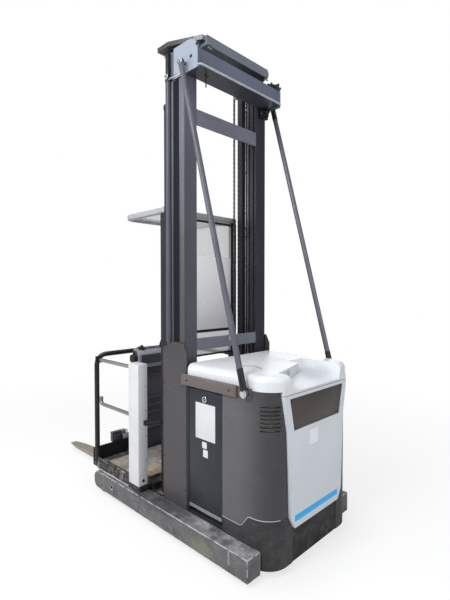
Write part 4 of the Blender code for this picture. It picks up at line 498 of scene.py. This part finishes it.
class Shape:
    """A mesh of bevelled blocks, turned parts, swept tubes and flat plates. X is from the rearmost face."""

    def __init__(self):
        self.bm = bmesh.new()

    def take(self, part, matrix=None):
        """Adds a part to the mesh."""
        if matrix is not None:
            bmesh.ops.transform(part, matrix=matrix, verts=part.verts)
        mesh = bpy.data.meshes.new("part")
        part.to_mesh(mesh)
        part.free()
        self.bm.from_mesh(mesh)
        bpy.data.meshes.remove(mesh)
        return self

    def block(self, low, high, bevel=0.002, turn=None, segments=2):
        """A block between two corners, turned about its middle where asked."""
        low, high = Vector(low), Vector(high)
        part = bmesh.new()
        bmesh.ops.create_cube(part, size=1.0)
        bmesh.ops.scale(part, vec=high - low, verts=part.verts)
        bmesh.ops.bevel(part, geom=part.edges[:], offset=min(bevel, min(high - low) * 0.45),
            segments=segments, profile=0.5, affect="EDGES")
        place = Matrix.Translation((low + high) / 2)
        return self.take(part, place @ turn.to_4x4() if turn else place)

    def sided(self, side, x, y, z, bevel=0.002):
        """A block on one side of the truck, given by its reach along X, away from the middle, and up."""
        near, far = sorted((side * y[0], side * y[1]))
        return self.block((x[0], near, z[0]), (x[1], far, z[1]), bevel)

    def prism(self, outline, step):
        """An outline of points in space, made solid by one step."""
        low = [self.bm.verts.new(p) for p in outline]
        high = [self.bm.verts.new(Vector(p) + Vector(step)) for p in outline]
        self.bm.faces.new(low[::-1])
        self.bm.faces.new(high)
        for i, n in zip(range(len(low)), [*range(1, len(low)), 0]):
            self.bm.faces.new((low[i], low[n], high[n], high[i]))
        return self

    def turned(self, profile, place, axis=UP, sides=24):
        """A part turned about an axis from (radius, distance along the axis) points."""
        part = bmesh.new()
        rows = []
        turns = [2 * math.pi * k / sides for k in range(sides)]
        for radius, height in profile:
            around = turns if radius > 1e-6 else turns[:1]
            row = [part.verts.new((radius * math.cos(a), radius * math.sin(a), height)) for a in around]
            rows.append(row)
        for low, high in zip(rows, rows[1:]):
            for k in range(sides):
                n = (k + 1) % sides
                corners = (low[k % len(low)], low[n % len(low)], high[n % len(high)], high[k % len(high)])
                part.faces.new(list(dict.fromkeys(corners)))
        for row in (rows[0], rows[-1]):
            if len(row) > 1:
                part.faces.new(row)
        turn = Vector(UP).rotation_difference(Vector(axis)).to_matrix().to_4x4()
        return self.take(part, Matrix.Translation(place) @ turn)

    def bolt(self, place, axis, radius=0.008, height=0.006, washer=True):
        """A hexagon head, chamfered, on a washer."""
        if washer:
            self.turned(((radius * 1.25, 0.0), (radius * 1.45, 0.0004), (radius * 1.45, height * 0.22),
                (radius * 1.3, height * 0.3)), place, axis, 20)
        return self.turned(((radius, height * 0.2), (radius, height * 0.85), (radius * 0.86, height)),
            place, axis, 6)

    def screw(self, place, axis, radius=0.005, height=0.0025):
        """A low round head with a dimple."""
        return self.turned(((radius, 0.0), (radius, height * 0.4), (radius * 0.8, height),
            (radius * 0.4, height), (radius * 0.3, height * 0.4), (0.0, height * 0.4)), place, axis, 16)

    def tube(self, points, radius, sides=12):
        """A round bar along points, its section carried along without twist."""
        points = [Vector(p) for p in points]
        part = bmesh.new()
        rings = []
        turns = [2 * math.pi * k / sides for k in range(sides)]
        side = None
        for i, point in enumerate(points):
            before = points[max(i - 1, 0)]
            after = points[min(i + 1, len(points) - 1)]
            along = (after - before).normalized()
            if side is None:
                side = along.orthogonal().normalized()
            side = (side - along * side.dot(along)).normalized()
            other = along.cross(side)
            rings.append([part.verts.new(point + (side * math.cos(a) + other * math.sin(a)) * radius)
                          for a in turns])
        for near, far in zip(rings, rings[1:]):
            for k in range(sides):
                n = (k + 1) % sides
                part.faces.new((near[k], near[n], far[n], far[k]))
        part.faces.new(rings[0])
        part.faces.new(rings[-1])
        return self.take(part)

    def plate(self, outline, plane, start, thickness, bevel=0.0008):
        """A flat outline in the XZ, XY or YZ plane, made solid from start along the third axis."""
        place = PLANES[plane]
        part = bmesh.new()
        face = part.faces.new([part.verts.new(place(a, b, start)) for a, b in outline])
        grown = bmesh.ops.extrude_face_region(part, geom=[face])
        moved = [v for v in grown["geom"] if isinstance(v, bmesh.types.BMVert)]
        bmesh.ops.translate(part, vec=Vector(place(0, 0, thickness)), verts=moved)
        bmesh.ops.recalc_face_normals(part, faces=part.faces)
        if bevel:
            rim = [e for e in part.edges if len(e.link_faces) == 2 and e.calc_face_angle() > 0.6]
            bmesh.ops.bevel(part, geom=rim, offset=bevel, segments=2, profile=0.5, affect="EDGES")
        return self.take(part)

    def done(self, name, look, body="chassis", slot=None, stands_for=(), angle=32):
        """Makes the mesh a piece of the scene, with its look, its body and what it stands for. slot is not
        used.
        """
        mesh = bpy.data.meshes.new(name)
        bmesh.ops.translate(self.bm, vec=(cad_box[0].x, 0, 0), verts=self.bm.verts)
        bmesh.ops.recalc_face_normals(self.bm, faces=self.bm.faces)
        self.bm.to_mesh(mesh)
        self.bm.free()
        piece = bpy.data.objects.new(name, mesh)
        scene.collection.objects.link(piece)
        mesh.shade_smooth()
        mesh.set_sharp_from_angle(angle=math.radians(angle))
        mesh.materials.append(MATERIALS[look])
        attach(piece, body)
        if stands_for:
            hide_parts(*stands_for)


def arc(centre, radius, first, last, steps):
    """Points on an arc between two angles in degrees."""
    turns = [math.radians(first + (last - first) * k / steps) for k in range(steps + 1)]
    return [(centre[0] + radius * math.cos(a), centre[1] + radius * math.sin(a)) for a in turns]


def disc(first, *steps):
    """Profile of a round part closed at both ends: the first radius, then radius and height of each step."""
    return [(0.0, 0.0), (first, 0.0), *zip(steps[::2], steps[1::2]), (0.0, steps[-1])]


def bent(corners, radius, steps=5):
    """Points along straight runs whose corners are rounded."""
    corners = [Vector(c) for c in corners]
    points = [corners[0]]
    for before, here, after in zip(corners, corners[1:], corners[2:]):
        into, out = (here - before).normalized(), (after - here).normalized()
        turn = into.angle(out)
        start = here - into * radius * math.tan(turn / 2)
        side = (out - into * into.dot(out)).normalized()
        for k in range(steps + 1):
            a = turn * k / steps
            points.append(start + side * radius + into * radius * math.sin(a) - side * radius * math.cos(a))
    points.append(corners[-1])
    return points


def link_chain(shape, path, middle, pitch=0.019, height=0.0112, width=0.018):
    """Plates and pins along a path of (x, z) points, in the plane at this Y."""
    path = [Vector(p) for p in path]
    spots = [path[0]]
    left = pitch
    for here, after in zip(path, path[1:]):
        run = (after - here).length
        while left <= run:
            spots.append(here + (after - here) * (left / run))
            left += pitch
        left -= run
    for k, (here, after) in enumerate(zip(spots, spots[1:])):
        along = (after - here).normalized()
        turn = math.degrees(math.atan2(along.y, along.x))
        half = height / 2
        ends = arc(here, half, turn + 100, turn + 260, 3)
        ends += arc(after, half, turn - 80, turn + 80, 3)
        reach = width * (0.46 if k % 2 else 0.32)
        for side in (1, -1):
            y = middle + side * reach
            shape.prism([(x, y, z) for x, z in ends], (0, -side * 0.002, 0))
        pin = [(x, middle - width * 0.48, z) for x, z in arc(here, height * 0.26, 0, 315, 7)]
        shape.prism(pin, (0, width * 0.96, 0))


# Places in metres: X from the rearmost face, Y from the middle, Z from the floor
STAY_ENDS = ((0.194, 1.084), (0.77, 3.225))  # X and Z of the foot and the top
CYLINDER = (1.0323, 0.4)  # X and Y of a lift cylinder's axis
SHELL_FACE = 0.4594
DOOR_SKIN = (0.4578, 0.4586)  # from and to along Y
LOCK = (0.5715, 0.975)  # X and Z
DRIVE_X = 0.225
GATE_TOP = 1.098


def mast_fittings():
    """Rolled edges and the pipe on the outer uprights, nuts of the stays, and the fittings of the head."""
    low, high = 1.322, 3.163
    for label, side in SIDES:
        rolled = Shape()
        band = [(0.8004, 0.429), (0.8004, 0.4366), (0.803, 0.439), (0.84, 0.439), (0.848, 0.4382),
            (0.855, 0.4364), (0.861, 0.4336), (0.865, 0.429)]
        ridge = [(0.9235, 0.429), (0.925, 0.4372), (0.9275, 0.4392), (0.933, 0.4392), (0.9355, 0.4372),
            (0.937, 0.429)]
        for outline in (band, ridge):
            rolled.plate([(x, side * y) for x, y in outline], "XY", low, high - low, 0)
        rolled.done("rolled_edges_" + label, "mast_edge")

        # A near-black sheet in the recess between the flanges: painted shade.
        recess = [(0.8655, 0.429), (0.8655, 0.4307), (0.923, 0.4307), (0.923, 0.429)]
        Shape().plate([(x, side * y) for x, y in recess], "XY", low, high - low, 0).done(
            "rolled_recess_" + label, "mast_dark")

        x, y, pipe_top = 0.9725, side * 0.4385, 3.172
        pipe = [(x, y, low), (x, y, pipe_top)]
        Shape().tube(pipe, 0.0215, 24).done("mast_pipe_" + label, "pipe")
        head = disc(0.024, 0.024, 0.016, 0.0185, 0.022, 0.0185, 0.19, 0.016, 0.196)
        Shape().turned(head, (x, y, pipe_top)).done("pipe_head_" + label, "black")

        strap = Shape()
        strap.sided(side, (0.786, 0.962), (0.4482, 0.4555), (3.175, 3.189))
        strap.bolt((0.967, side * 0.46, 3.205), (0, side, 0), 0.012, 0.012)
        strap.tube([(0.967, side * 0.444, 3.205), (0.967, side * 0.462, 3.205)], 0.006)
        strap.done("head_strap_" + label, "bright")

        nuts = Shape()
        for x, z in STAY_ENDS:
            nuts.bolt((x, side * 0.5034, z), (0, side, 0), 0.017, 0.0125)
        nuts.done("stay_nuts_" + label, "bright")

        screws = Shape()
        for x, z in ((0.33, 1.08), (0.73, 1.08)):
            screws.screw((x, side * 0.4843, z), (0, side, 0), 0.007, 0.003)
        for x, z in ((0.779, 0.303), (1.01, 0.483), (1.008, 1.022), (1.008, 1.278)):
            screws.screw((x, side * 0.4568, z), (0, side, 0), 0.006, 0.003)
        screws.done("panel_screws_" + label, "hole")

        sleeves = Shape()
        foot, top = (Vector((x, side * 0.492, z)) for x, z in STAY_ENDS)
        along = (top - foot).normalized()
        sleeves.tube([foot + along * 0.02, foot + along * 0.15], 0.0204, 20)
        if side < 0:
            sleeves.tube([top - along * 0.125, top - along * 0.02], 0.0204, 20)
        sleeves.done("stay_sleeves_" + label, "black", slot="mast_paint")

        # Dark discs at the holes in the head cheeks: painted shade inside them.
        holes = Shape()
        for x, z in ((0.656, 3.318), (0.716, 3.257)):
            holes.turned(disc(0.0125, 0.0125, 0.0007), (x, side * 0.448, z), (0, side, 0))
        holes.done("cheek_holes_" + label, "hole")

        rails = Shape()
        for z in (1.45, 2.1, 2.7):
            rails.sided(side, (1.0052, 1.024), (0.376, 0.424), (z - 0.014, z + 0.014), 0.003)
        rails.turned(((0.0275, 0), (0.031, 0.002), (0.031, 0.028), (0.0285, 0.031), (0.022, 0.031)),
            (CYLINDER[0], side * CYLINDER[1], 3.006))
        rails.done("cylinder_fittings_" + label, "black")

    # A pale tube along the rear edge of the head's lip: painted highlight on that edge.
    lip = Shape()
    run = [(0.655, 0.44), (0.6455, 0.435), (0.6375, 0.426), (0.6345, 0.415)]
    lip.tube([(x, y, 3.1835) for x, y in run] + [(x, -y, 3.1835) for x, y in reversed(run)], 0.008)
    lip.done("head_lip_edge", "lip")

    head = Shape()
    head.tube([(0.7, 0.327, 3.194), (0.7, 0.327, 3.085)], 0.0045)
    head.tube([(0.7, 0.311, 3.16), (0.7, 0.343, 3.16)], 0.0045)
    head.turned(disc(0.01, 0.011, 0.006), (0.7, 0.327, 3.183))
    head.sided(-1, (0.762, 0.7998), (0.352, 0.44), (3.12, 3.164), 0.003)
    for k in range(5):
        head.sided(-1, (0.768, 0.796), (0.356 + 0.018 * k, 0.366 + 0.018 * k), (3.098, 3.124))
    head.turned(((0.016, 0), (0.018, 0.002), (0.018, 0.012), (0.01, 0.016), (0.01, 0.024)),
        (0.745, -0.392, 3.14), BACK)
    head.sided(-1, (0.688, 0.7), (0.338, 0.432), (3.2995, 3.338), 0.003)
    head.sided(-1, (0.645, 0.76), (0.42, 0.429), (3.2995, 3.352), 0.003)
    head.turned(disc(0.013, 0.013, 0.012, 0.008, 0.014, 0.008, 0.022), (0.694, -0.385, 3.336))
    head.done("head_fittings", "black")

    Shape().block((0.8008, -0.043, 1.309), (0.8021, -0.011, 1.333), 0.0004).done("crossbar_label", "label")
    Shape().block((0.8002, -0.024, 1.312), (0.801, -0.013, 1.33), 0.0003).done(
        "crossbar_label_edge", "orange")


def chain_parts():
    """Link chains over the head wheels, fixed chains in the beams' recesses, rod nuts and slab bolts."""
    for label, side in SIDES:
        chain = Shape()
        centre, radius = (1.045, 3.344), 0.026
        path = [(centre[0] + radius, 0.932), *arc(centre, radius, 0, 180, 10), (centre[0] - radius, 0.452)]
        link_chain(chain, path, side * 0.35)
        chain.done(
            "link_chain_" + label, "chain", "mast_stage", stands_for=("lift_chain_" + label,), angle=40)
        fixed = Shape()
        link_chain(fixed, [(0.899, 0.3), (0.899, 3.3)], side * 0.338, width=0.0155)
        fixed.done("beam_chain_" + label, "chain", "mast_stage", angle=40)
        pair = Shape()
        for x in (0.868, 0.93):
            pair.tube([(x, side * 0.341, 0.26), (x, side * 0.341, 3.33)], 0.0035, 10)
        for z in (0.3, 3.3):
            pair.sided(side, (0.86, 0.938), (0.328, 0.3495), (z - 0.012, z + 0.012), 0.003)
        pair.done("beam_rods_" + label, "bright", "mast_stage")
        nuts = Shape()
        nuts.turned(((0.0152, 0), (0.025, 0), (0.025, 0.012), (0.02, 0.0165), (0.0152, 0.0165)),
            (CYLINDER[0], side * CYLINDER[1], 3.3835), sides=6)
        for x, y in (CYLINDER, (0.96, 0.448), (0.96, 0.33), (0.83, 0.33), (0.8, 0.385)):
            nuts.turned(((0.013, 0), (0.013, 0.0025), (0.011, 0.0034), (0, 0.0034)),
                (x, side * y, 3.4321), sides=6)
        nuts.done("slab_nuts_" + label, "bright", "mast_stage")
        ends = Shape()
        for z in (3.345, 3.375):
            ends.sided(side, (0.68, 0.6855), (0.285, 0.325), (z, z + 0.012))
        ends.done("head_end_tags_" + label, "mast_light", "mast_stage")


def rear_parts():
    """Louvres with a backing of painted shade, a pale bead along the seam for its dust and painted highlight,
    dark door frames as painted shadow in the gaps, and the plate in the recess.
    """
    corner = (0.168, 0.31)
    for label, side in SIDES:
        def round_corner(radius, first, last, steps=14):
            return [(x, side * y) for x, y in arc(corner, radius, first, last, steps)]
        # A dark plate behind the louvre slots: painted shade inside the body.
        backing = round_corner(0.1448, 110, 162) + round_corner(0.14, 162, 110)
        Shape().plate(backing, "XY", 0.852, 0.178, 0).done("louvre_backing_" + label, "hole")
        lips = Shape()
        for k in range(7):
            z = 0.866 + 0.0235 * k
            for height, out, thick in ((z + 0.0096, 0.0034, 0.0018), (z - 0.002, 0.001, 0.0012)):
                lips.plate(round_corner(0.1495, 111, 161) + round_corner(0.15 + out, 160, 112), "XY",
                    height, thick, 0.0)
        lips.done("louvre_lips_" + label, "shell")

        # A pale bead along the seam: its dust and a painted highlight on the seam's edge.
        bead = Shape()
        seam = [(x, side * SHELL_FACE, z) for x, z in (
            (0.408, 0.264), (0.262, 0.264), (0.245, 0.27), (0.195, 0.336), (0.18, 0.342), (0.168, 0.342))]
        seam += [(x, y, 0.342) for x, y in round_corner(0.1494, 90, 160, 12)]
        bead.tube(seam, 0.0021, 8)
        bead.done("seam_bead_" + label, "bead", slot="cover_white")

        # A dark frame in the gap beside the battery door: painted shadow in that gap.
        frame_post = Shape()
        frame_post.sided(side, (0.7315, 0.7605), (0.431, 0.456), (0.164, 1.042), 0.003)
        frame_post.sided(side, (0.4105, 0.7605), (0.431, 0.452), (0.164, 0.186), 0.003)
        for z in (0.24, 0.62, 1.0):
            frame_post.screw((0.746, side * 0.456, z), (0, side, 0), 0.006, 0.002)
        frame_post.done("door_frame_" + label, "hole")

    trapezoid = [(-0.2605, 0.8565), (0.2605, 0.8565), (0.3045, 1.0505), (-0.3045, 1.0505)]
    Shape().plate(trapezoid, "YZ", 0.0046, 0.0036, 0.001).done("recess_plate", "brown")
    screws = Shape()
    for y, z in ((0.248, 0.87), (0.288, 1.036)):
        for side in (1, -1):
            screws.screw((0.0046, side * y, z), BACK, 0.005, 0.002)
    screws.done("recess_screws", "hole")


def door_parts():
    """Labels left blank, the lock ring and the foot strip of the battery doors."""
    for label, side in SIDES:
        body = "battery_door_" + label
        ring = ((0.0135, 0), (0.0205, 0), (0.0205, 0.002), (0.019, 0.0034), (0.015, 0.0034),
                (0.0135, 0.0018))
        Shape().turned(ring, (LOCK[0], side * 0.4632, LOCK[1]), (0, side, 0), 28).done(
            "door_lock_" + label, "bright", body)
        core = disc(0.014, 0.014, 0.0016, 0.0045, 0.0016, 0.004, 0.0004)
        Shape().turned(core, (LOCK[0], side * 0.4634, LOCK[1]), (0, side, 0), 28).done(
            "door_lock_core_" + label, "hole", body)
        strip = Shape()
        strip.sided(side, (0.4165, 0.7265), (0.4578, 0.4596), (0.217, 0.241), 0.0008)
        for x in (0.44, 0.572, 0.703):
            strip.screw((x, side * 0.4595, 0.229), (0, side, 0), 0.005, 0.0018)
        strip.done("door_strip_" + label, "strip", body)
        if side > 0:
            blank = Shape()
            for x, z in (((0.476, 0.664), (0.705, 0.945)), ((0.555, 0.6), (0.648, 0.69)),
                         ((0.545, 0.59), (0.59, 0.64))):
                blank.sided(side, x, DOOR_SKIN, z, 0.0003)
            blank.done("door_labels", "label", body)


def hood_parts():
    """Joint of the small flap on the hood."""
    flap = bent([(0.446, 0.3, 1.1897), (0.359, 0.204, 1.1897), (0.259, 0.253, 1.1897)], 0.02)
    Shape().tube(flap, 0.0022, 8).done("flap_joint", "hole", "hood", slot="cover_white")


def power_parts():
    """Battery cells with caps, straps and plug, and the motor's rings, cover and terminals."""
    cells, caps, straps = Shape(), Shape(), Shape()
    for column in range(2):
        for row in range(6):
            x = 0.414 + 0.16 * column
            y = -0.384 + 0.1285 * row
            cells.block((x, y, 0.9495), (x + 0.154, y + 0.1225, 0.972), 0.004)
            for dx in (0.048, 0.106):
                caps.turned(disc(0.015, 0.015, 0.008, 0.011, 0.013), (x + dx, y + 0.061, 0.9715), sides=16)
            if row < 5:
                straps.block((x + 0.064, y + 0.105, 0.9715), (x + 0.09, y + 0.145, 0.981), 0.003)
    cells.done("battery_cells", "battery_lid")
    caps.done("battery_caps", "cap")
    straps.done("battery_straps", "lead")
    plug = Shape()
    plug.block((0.418, -0.392, 0.972), (0.47, -0.3, 1.012), 0.006)
    plug.block((0.47, -0.376, 0.98), (0.486, -0.316, 1.004), 0.004)
    plug.tube(bent([(0.444, -0.3, 0.992), (0.444, -0.245, 0.992), (0.49, -0.245, 0.992),
        (0.49, -0.245, 0.97)], 0.02), 0.008)
    plug.done("battery_plug", "red")

    motor = Shape()
    for z in (0.385, 0.455, 0.525, 0.595, 0.665):
        motor.turned(((0.094, 0), (0.0975, 0.001), (0.0975, 0.009), (0.094, 0.01)), (DRIVE_X, 0, z),
            sides=40)
    motor.turned(((0.09, 0), (0.09, 0.012), (0.074, 0.022), (0.03, 0.024), (0, 0.024)),
        (DRIVE_X, 0, 0.719), sides=40)
    for k in range(6):
        turn = math.radians(60 * k)
        motor.bolt((DRIVE_X + 0.08 * math.cos(turn), 0.08 * math.sin(turn), 0.73), UP, 0.006, 0.005)
    motor.block((0.185, 0.092, 0.56), (0.265, 0.128, 0.65), 0.004)
    for x in (0.2, DRIVE_X, 0.25):
        motor.bolt((x, 0.128, 0.605), (0, 1, 0), 0.006, 0.01)
    motor.done("motor_fittings", "chassis")


def cab_parts():
    """Fittings of the posts, rails, gates, toe board, guard and screen."""
    for label, side in SIDES:
        dots = Shape()
        for z in (0.967, 0.78, 0.59, 0.4):
            dots.screw((1.2003, side * 0.487, z), BACK, 0.0042, 0.0018)
        dots.turned(disc(0.011, 0.011, 0.003, 0.007, 0.004), (1.2003, side * 0.512, 0.25), BACK)
        dots.done("post_screws_" + label, "hole", "cab")

        rail = Shape()
        x, y = 1.8637, side * 0.526
        rail.turned(((0.0215, 0), (0.0215, 0.02), (0.0225, 0.022), (0.024, 0), (0.0215, 0)),
            (x, y, 0.2125))
        low = GATE_TOP - 0.028
        rail.sided(side, (1.826, 1.856), (0.498, 0.5465), (low, GATE_TOP - 0.0185))
        rail.sided(side, (1.843, 1.856), (0.498, 0.5465), (low, GATE_TOP + 0.028))
        rail.sided(side, (1.826, 1.856), (0.498, 0.503), (low, GATE_TOP + 0.01), 0.0015)
        rail.done("gate_rests_" + label, "black", "cab")

        Shape().sided(side, (1.345, 1.821), (0.5478, 0.552), (0.17, 0.181), 0.001).done(
            "board_edge_" + label, "bead", "cab")

        caps = Shape()
        y = side * 0.522
        caps.turned(disc(0.0158, 0.0158, 0.012, 0.012, 0.0165), (1.799, y, GATE_TOP), (1, 0, 0))
        caps.turned(disc(0.011, 0.011, 0.002), (1.8, y, 0.7725), UP)
        for z in (GATE_TOP, 0.725):
            caps.tube([(1.29, y, z), (1.345, y, z)], 0.0172, 20)
        caps.done("gate_caps_" + label, "rubber", "gate_" + label)

        clamp = Shape()
        clamp.tube([(1.139, side * 0.398, 0.69), (1.15, side * 0.406, 0.69)], 0.015, 16)
        clamp.sided(side, (1.175, 1.199), (0.478, 0.512), (0.672, 0.708), 0.004)
        for z in (0.3, 1.2, 1.9):
            clamp.screw((1.085, side * 0.37, z), BACK, 0.006, 0.002)
        clamp.done("brace_clamps_" + label, "hole", "cab")

        bolts = Shape()
        for x in (1.115, 1.56):
            bolts.bolt((x, side * 0.375, 2.3138), UP, 0.007, 0.006)
        bolts.done("guard_bolts_" + label, "bright", "cab")

    box = Shape()
    box.block((1.888, 0.276, 0.3302), (1.9265, 0.366, 0.414), 0.004)
    box.block((1.884, 0.274, 0.405), (1.9268, 0.368, 0.416), 0.003)
    box.block((1.88, 0.29, 0.346), (1.889, 0.352, 0.388), 0.003)
    box.done("toe_box", "purple", "cab")
    bracket = Shape()
    bracket.block((1.896, 0.16, 0.3302), (1.902, 0.258, 0.376))
    for low, high in ((0.16, 0.166), (0.252, 0.258)):
        bracket.block((1.896, low, 0.3302), (1.92, high, 0.366))
    bracket.tube(bent([(1.905, 0.262, 0.372), (1.905, 0.262, 0.41), (1.905, 0.205, 0.41),
        (1.905, 0.205, 0.372)], 0.018), 0.0045)
    for y in (0.19, 0.23):
        bracket.bolt((1.896, y, 0.353), BACK, 0.006, 0.005)
    bracket.done("toe_bracket", "bead", "cab")

    Shape().block((1.1022, -0.338, 1.366), (1.1045, 0.338, 1.968), 0.0006).done("lower_film", "lilac", "cab")
    bands = Shape()
    bands.block((1.1016, -0.3442, 1.343), (1.113, 0.3442, 1.366), 0.001)
    bands.block((1.094, -0.3442, 2.243), (1.1046, 0.3442, 2.262))
    bands.block((1.099, -0.3442, 1.15), (1.113, 0.3442, 1.164), 0.001)
    bands.done("screen_bands", "rubber", "cab")
    Shape().block((1.084, -0.39, 1.868), (1.0853, -0.349, 1.922), 0.0004).done(
        "pillar_label", "label_red", "cab")

    for label, side in SIDES:
        hooks = Shape()
        y = side * 0.255
        hooks.block((1.899, y - 0.04, 0.327), (1.935, y + 0.04, 0.352), 0.004)
        hooks.turned(disc(0.008, 0.008, 0.03, 0.005, 0.034), (1.917, y, 0.35), sides=16)
        hooks.done("fork_hooks_" + label, "black", "cab", slot="fork_steel")
        Shape().tube([(1.968, y - 0.046, 0.08), (1.968, y + 0.046, 0.08)], 0.006, 10).done(
            "fork_heel_" + label, "fork", "cab")


def console_parts():
    """Panel, blank display, hand controls, key and button of the console."""
    slope = Matrix.Rotation(math.atan2(0.02, 0.0674), 3, "Y").inverted()
    panel = Shape()
    panel.plate([(1.744, 1.02), (1.744, 1.1), (1.7452, 1.1), (1.7452, 1.02)], "XZ", -0.15, 0.3, 0)
    panel.block((1.79, -0.15, 1.1535), (1.838, 0.15, 1.156), 0.001, slope)
    panel.done("console_panel", "panel", "cab")
    Shape().block((1.795, -0.045, 1.156), (1.833, 0.04, 1.159), 0.002, slope).done(
        "console_display", "display", "cab")
    knob = Shape()
    knob.turned(((0.03, 0), (0.034, 0.004), (0.034, 0.014), (0.016, 0.018), (0.012, 0.034), (0, 0.034)),
        (1.806, 0.11, 1.15), TILTED)
    knob.tube([(1.79, 0.132, 1.16), (1.788, 0.132, 1.176)], 0.0105, 16)
    knob.turned(disc(0.016, 0.014, 0.006, 0.01, 0.01, 0.008, 0.02), (1.806, -0.095, 1.148), TILTED)
    knob.tube(bent([(1.8, -0.095, 1.16), (1.794, -0.095, 1.19), (1.782, -0.098, 1.204)], 0.01), 0.0075, 14)
    knob.turned(((0, -0.016), (0.01, -0.014), (0.0145, -0.006), (0.0145, 0.006), (0.01, 0.014),
        (0, 0.016)), (1.778, -0.099, 1.206), sides=20)
    knob.done("hand_controls", "rubber", "cab", slot="console_plastic")
    grip = Shape()
    grip.block((1.762, 0.174, 1.036), (1.836, 0.226, 1.108), 0.02, segments=5)
    grip.tube([(1.8, 0.2, 1.1), (1.792, 0.2, 1.13)], 0.011, 16)
    grip.turned(((0, 0), (0.014, 0.001), (0.017, 0.008), (0.014, 0.016), (0, 0.018)),
        (1.792, 0.2, 1.126), sides=20)
    grip.done("hand_grip", "rubber", "cab")
    button = ((0, 0), (0.009, 0), (0.009, 0.01), (0.017, 0.011), (0.018, 0.018), (0.012, 0.023),
              (0, 0.024))
    Shape().turned(button, (1.808, -0.148, 1.144), TILTED, 28).done(
        "stop_button", "red", "cab", "console_plastic")
    key = Shape()
    key.turned(disc(0.009, 0.009, 0.004), (1.744, -0.12, 1.05), BACK)
    key.block((1.728, -0.1215, 1.042), (1.74, -0.1185, 1.058), 0.001)
    key.done("key_switch", "bright", "cab")


def wheel_parts():
    """Hub discs and bolts of the wheels."""
    for label, side in SIDES:
        for face in (1, -1):
            hub = Shape()
            y = side * 0.5125 + face * 0.039
            hub.turned(((0.013, 0), (0.013, 0.0012), (0.034, 0.0012), (0.036, 0), (0.036, -0.001)),
                (1.73, y - face * 0.0002, 0.07), (0, face, 0), 32)
            end = "out" if face * side > 0 else "in"
            hub.done("load_hub_%s_%s" % (label, end), "bright", "load_wheel_" + label)
    for face in (1, -1):
        hub = Shape()
        hub.turned(((0.019, 0), (0.019, 0.0015), (0.062, 0.0015), (0.066, 0), (0.066, -0.002)),
            (DRIVE_X, face * 0.0449, 0.125), (0, face, 0), 40)
        for k in range(5):
            turn = math.radians(72 * k + 18)
            hub.bolt((DRIVE_X + 0.044 * math.cos(turn), face * 0.046, 0.125 + 0.044 * math.sin(turn)),
                (0, face, 0), 0.007, 0.0035, washer=False)
        hub.done("drive_hub_" + ("left" if face > 0 else "right"), "steel", "drive_wheel")


mast_fittings()
chain_parts()
rear_parts()
door_parts()
hood_parts()
power_parts()
cab_parts()
console_parts()
wheel_parts()
